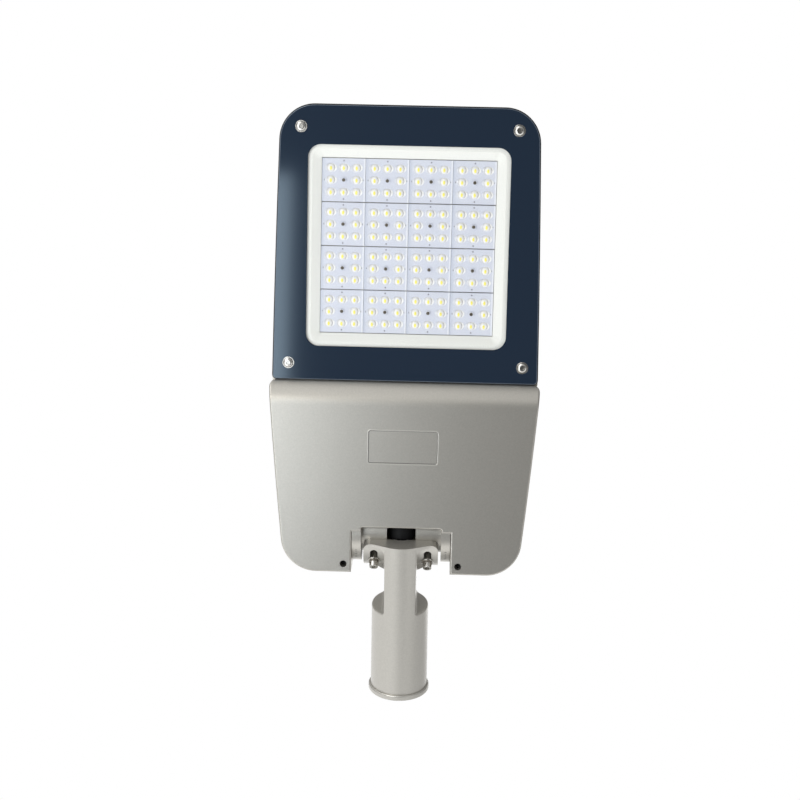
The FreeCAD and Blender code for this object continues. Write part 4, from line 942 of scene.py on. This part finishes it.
@dataclass
class ClampWashers:
    """Rims that make the flat washers under the two clamp screws as wide as they look."""

    finishes: Finishes
    inner_r: float = 6.0
    outer_r: float = 7.1
    half_t: float = 0.7
    round_off: float = 0.3
    steps: int = 40

    def build(self) -> None:
        """Makes the two rims as one piece, round the washers' own middles."""
        bm = bmesh.new()
        points = [vert.co / MM for vert in frame["nodes"]["flat_washers"].data.vertices]
        for right in (False, True):
            own = [p for p in points if (p.x > 0) == right]
            places = [[p[axis] for p in own] for axis in range(3)]
            self._rim(bm, Vector([(min(along) + max(along)) / 2 for along in places]))
        bmesh.ops.scale(bm, vec=(MM, MM, MM), verts=bm.verts)
        mesh_object("clamp_washer_rims", bm, self.finishes.steel, Body.HEAD)

    def _rim(self, bm: bmesh.types.BMesh, middle: Vector) -> None:
        """Adds one rim, facing away from the swivel axis.

        Args:
            bm: The mesh that gets the rim, in millimetres of the row frame.
            middle: The rim's middle.
        """
        others = set(bm.verts)
        section = washer_section(self.inner_r, self.outer_r, self.half_t, -self.half_t, self.round_off)
        add_ring(bm, 0.0, 0.0, section, self.steps)
        outward = Vector((0.0, middle.y - HEAD.offset, middle.z - HEAD.height))
        turn = Vector((0.0, -1.0, 0.0)).rotation_difference(outward).to_matrix().to_4x4()
        rim = [vert for vert in bm.verts if vert not in others]
        bmesh.ops.transform(bm, matrix=Matrix.Translation(middle) @ turn, verts=rim)


@dataclass(frozen=True)
class SoftBox:
    """One rectangular studio light."""

    name: str
    place: Point
    size: Pair
    power: float
    color: Color = (1.0, 1.0, 1.0)
    aim: Point = (0.0, 0.05, 0.35)

    def build(self) -> None:
        """Adds the light, turned to its aim."""
        data = bpy.data.lights.new(self.name, "AREA")
        data.shape = "RECTANGLE"
        data.size, data.size_y = self.size
        data.energy = self.power
        data.color = self.color
        light = bpy.data.objects.new(self.name, data)
        light.location = self.place
        light.rotation_euler = (Vector(self.aim) - light.location).to_track_quat("-Z", "Y").to_euler()
        bpy.context.scene.collection.objects.link(light)


@dataclass(frozen=True)
class Surroundings:
    """White room to the camera; as a light brighter from the front and below than from above.

    What gloss mirrors has a dark patch in front, is brighter low down and at the upper left, and dimmer at the
    right and behind. A fade is the pair of direction components, or of cosines, between which it changes.
    """

    white: Color = (1.0, 1.0, 1.0)
    soft: Color = (0.97, 0.985, 1.0)
    soft_fade: Pair = (-0.25, 0.55)
    soft_levels: Pair = (0.90, 0.46)
    mirrored: Color = (0.98, 0.99, 1.0)
    mirrored_level: float = 0.59
    dark_way: Point = (0.18, -0.98, 0.02)
    dark_fade: Pair = (0.78, 0.97)
    low_fade: Pair = (-0.55, -0.15)
    low_gain: float = 2.6
    right_fade: Pair = (0.1, 0.8)
    right_share: float = 0.5
    upper_fade: Pair = (0.4, 0.8)
    left_fade: Pair = (-0.5, 0.05)
    upper_left_gain: float = 4.2
    behind_fade: Pair = (-0.1, 0.4)
    behind_up_fade: Pair = (-0.15, 0.15)
    behind_loss: float = 0.45

    def build(self) -> None:
        """Makes the world."""
        world = bpy.data.worlds.new("studio")
        bpy.context.scene.world = world
        nodes = Nodes(world, "ShaderNodeOutputWorld")
        way = nodes.add("ShaderNodeTexCoord").outputs["Generated"]
        height = nodes.add("ShaderNodeSeparateXYZ", {"Vector": way}).outputs["Z"]
        level = nodes.ramp(height, self.soft_fade, self.soft_levels, "SMOOTHSTEP")
        path = nodes.add("ShaderNodeLightPath").outputs
        seen = nodes.math("MAXIMUM", path["Is Camera Ray"], path["Is Transmission Ray"])
        soft = self._light(nodes, self.soft, level)
        mirrored = self._light(nodes, self.mirrored, self._mirrored(nodes, way))
        light = nodes.mix_shader(path["Is Glossy Ray"], soft, mirrored)
        nodes.finish(nodes.mix_shader(seen, light, self._light(nodes, self.white, 1.0)))

    def _light(self, nodes: Nodes, color: Color, strength: Value) -> Socket:
        """Background of one colour."""
        return nodes.add("ShaderNodeBackground", {"Color": color, "Strength": strength}).outputs[0]

    def _mirrored(self, nodes: Nodes, way: Socket) -> Socket:
        """Strength of what gloss mirrors.

        Args:
            nodes: The world's tree.
            way: Direction of the ray.

        Returns:
            The strength.
        """

        def soft_ramp(value: Socket, between: Pair, results: Pair) -> Socket:
            """Ramp with soft ends."""
            return nodes.ramp(value, between, results, "SMOOTHSTEP")

        x, y, z = nodes.add("ShaderNodeSeparateXYZ", {"Vector": way}).outputs
        ahead = nodes.vector_math("DOT_PRODUCT", way, Vector(self.dark_way).normalized())["Value"]
        upper = soft_ramp(z, self.upper_fade, (0.0, 1.0))
        upper_left = nodes.math("MULTIPLY", upper, soft_ramp(x, self.left_fade, (self.upper_left_gain, 0.0)))
        behind = soft_ramp(y, self.behind_fade, (0.0, self.behind_loss))
        behind = nodes.math("MULTIPLY", behind, soft_ramp(z, self.behind_up_fade, (0.0, 1.0)))
        strength = soft_ramp(ahead, self.dark_fade, (self.mirrored_level, 0.0))
        for factor in (
            soft_ramp(z, self.low_fade, (self.low_gain, 1.0)),
            soft_ramp(x, self.right_fade, (1.0, self.right_share)),
            nodes.math("ADD", upper_left, 1.0),
            nodes.math("SUBTRACT", 1.0, behind),
        ):
            strength = nodes.math("MULTIPLY", strength, factor)
        return strength


@dataclass(frozen=True)
class Floor:
    """Pale disc below the lamp."""

    radius: float = 0.7
    z: float = -1.2
    segments: int = 96
    color: Color = (0.82, 0.82, 0.81)
    roughness: float = 0.7

    def build(self) -> None:
        bm = bmesh.new()
        bmesh.ops.create_circle(bm, cap_ends=True, segments=self.segments, radius=self.radius)
        bmesh.ops.translate(bm, vec=Vector((0.0, 0.0, self.z)), verts=bm.verts)
        mesh = bpy.data.meshes.new("floor")
        bm.to_mesh(mesh)
        bm.free()
        mesh.materials.append(Finish("floor_pale", self.color, self.roughness).build())
        floor = bpy.data.objects.new("floor", mesh)
        bpy.context.scene.collection.objects.link(floor)


@dataclass(frozen=True)
class Camera:
    """Camera solved from the lens grid in the photograph."""

    place: Point = (0.040261, -1.802288, 1.002453)
    turn_deg: Point = (70.65902, -0.93100, 1.76041)
    sensor_mm: float = 36.0
    lens_mm: float = 75.086
    shift_x: float = 0.0006
    clip: Pair = (0.05, 50.0)

    def build(self) -> None:
        """Adds the camera and makes it the scene's."""
        data = bpy.data.cameras.new("camera")
        data.sensor_width = self.sensor_mm
        data.lens = self.lens_mm
        data.shift_x = self.shift_x
        data.clip_start, data.clip_end = self.clip
        camera = bpy.data.objects.new("camera", data)
        camera.location = self.place
        camera.rotation_euler = tuple(math.radians(angle) for angle in self.turn_deg)
        bpy.context.scene.collection.objects.link(camera)
        bpy.context.scene.camera = camera


@dataclass
class Studio:
    """White surroundings, a pale floor, soft lights and the camera."""

    lights: tuple[SoftBox, ...] = (
        SoftBox("key", (-0.75, -1.25, 1.02), (0.45, 0.45), 8.0, (1.0, 0.99, 0.96), (0.0, 0.05, 0.3)),
        SoftBox("fill", (1.25, -1.45, 0.1), (1.0, 1.0), 3.5, (0.98, 0.99, 1.0)),
        SoftBox("card", (-0.575, -1.20, 0.40), (0.65, 0.80), 5.6, (0.86, 0.93, 1.0), (-0.575, 0.0, 0.40)),
        SoftBox("back", (0.9, 1.5, -0.1), (1.2, 1.2), 5.0),
    )

    def build(self) -> None:
        """Makes everything round the lamp."""
        for item in (Surroundings(), Floor(), *self.lights, Camera()):
            item.build()
        bpy.context.scene.view_settings.view_transform = "Standard"


def main() -> None:
    """Dresses the frame, adds the finer pieces and sets up the studio."""
    logging.basicConfig(level=logging.INFO, format="%(name)s: %(message)s")
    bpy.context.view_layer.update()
    finishes = Finishes()
    for assembly in (CadNodes, LensField, TiltMarks, LabelRim, BossBlends, GlassWashers, ClampWashers):
        assembly(finishes).build()
        LOG.info("finished %s", assembly.__name__)
    Studio().build()


if __name__ == "__main__":
    main()
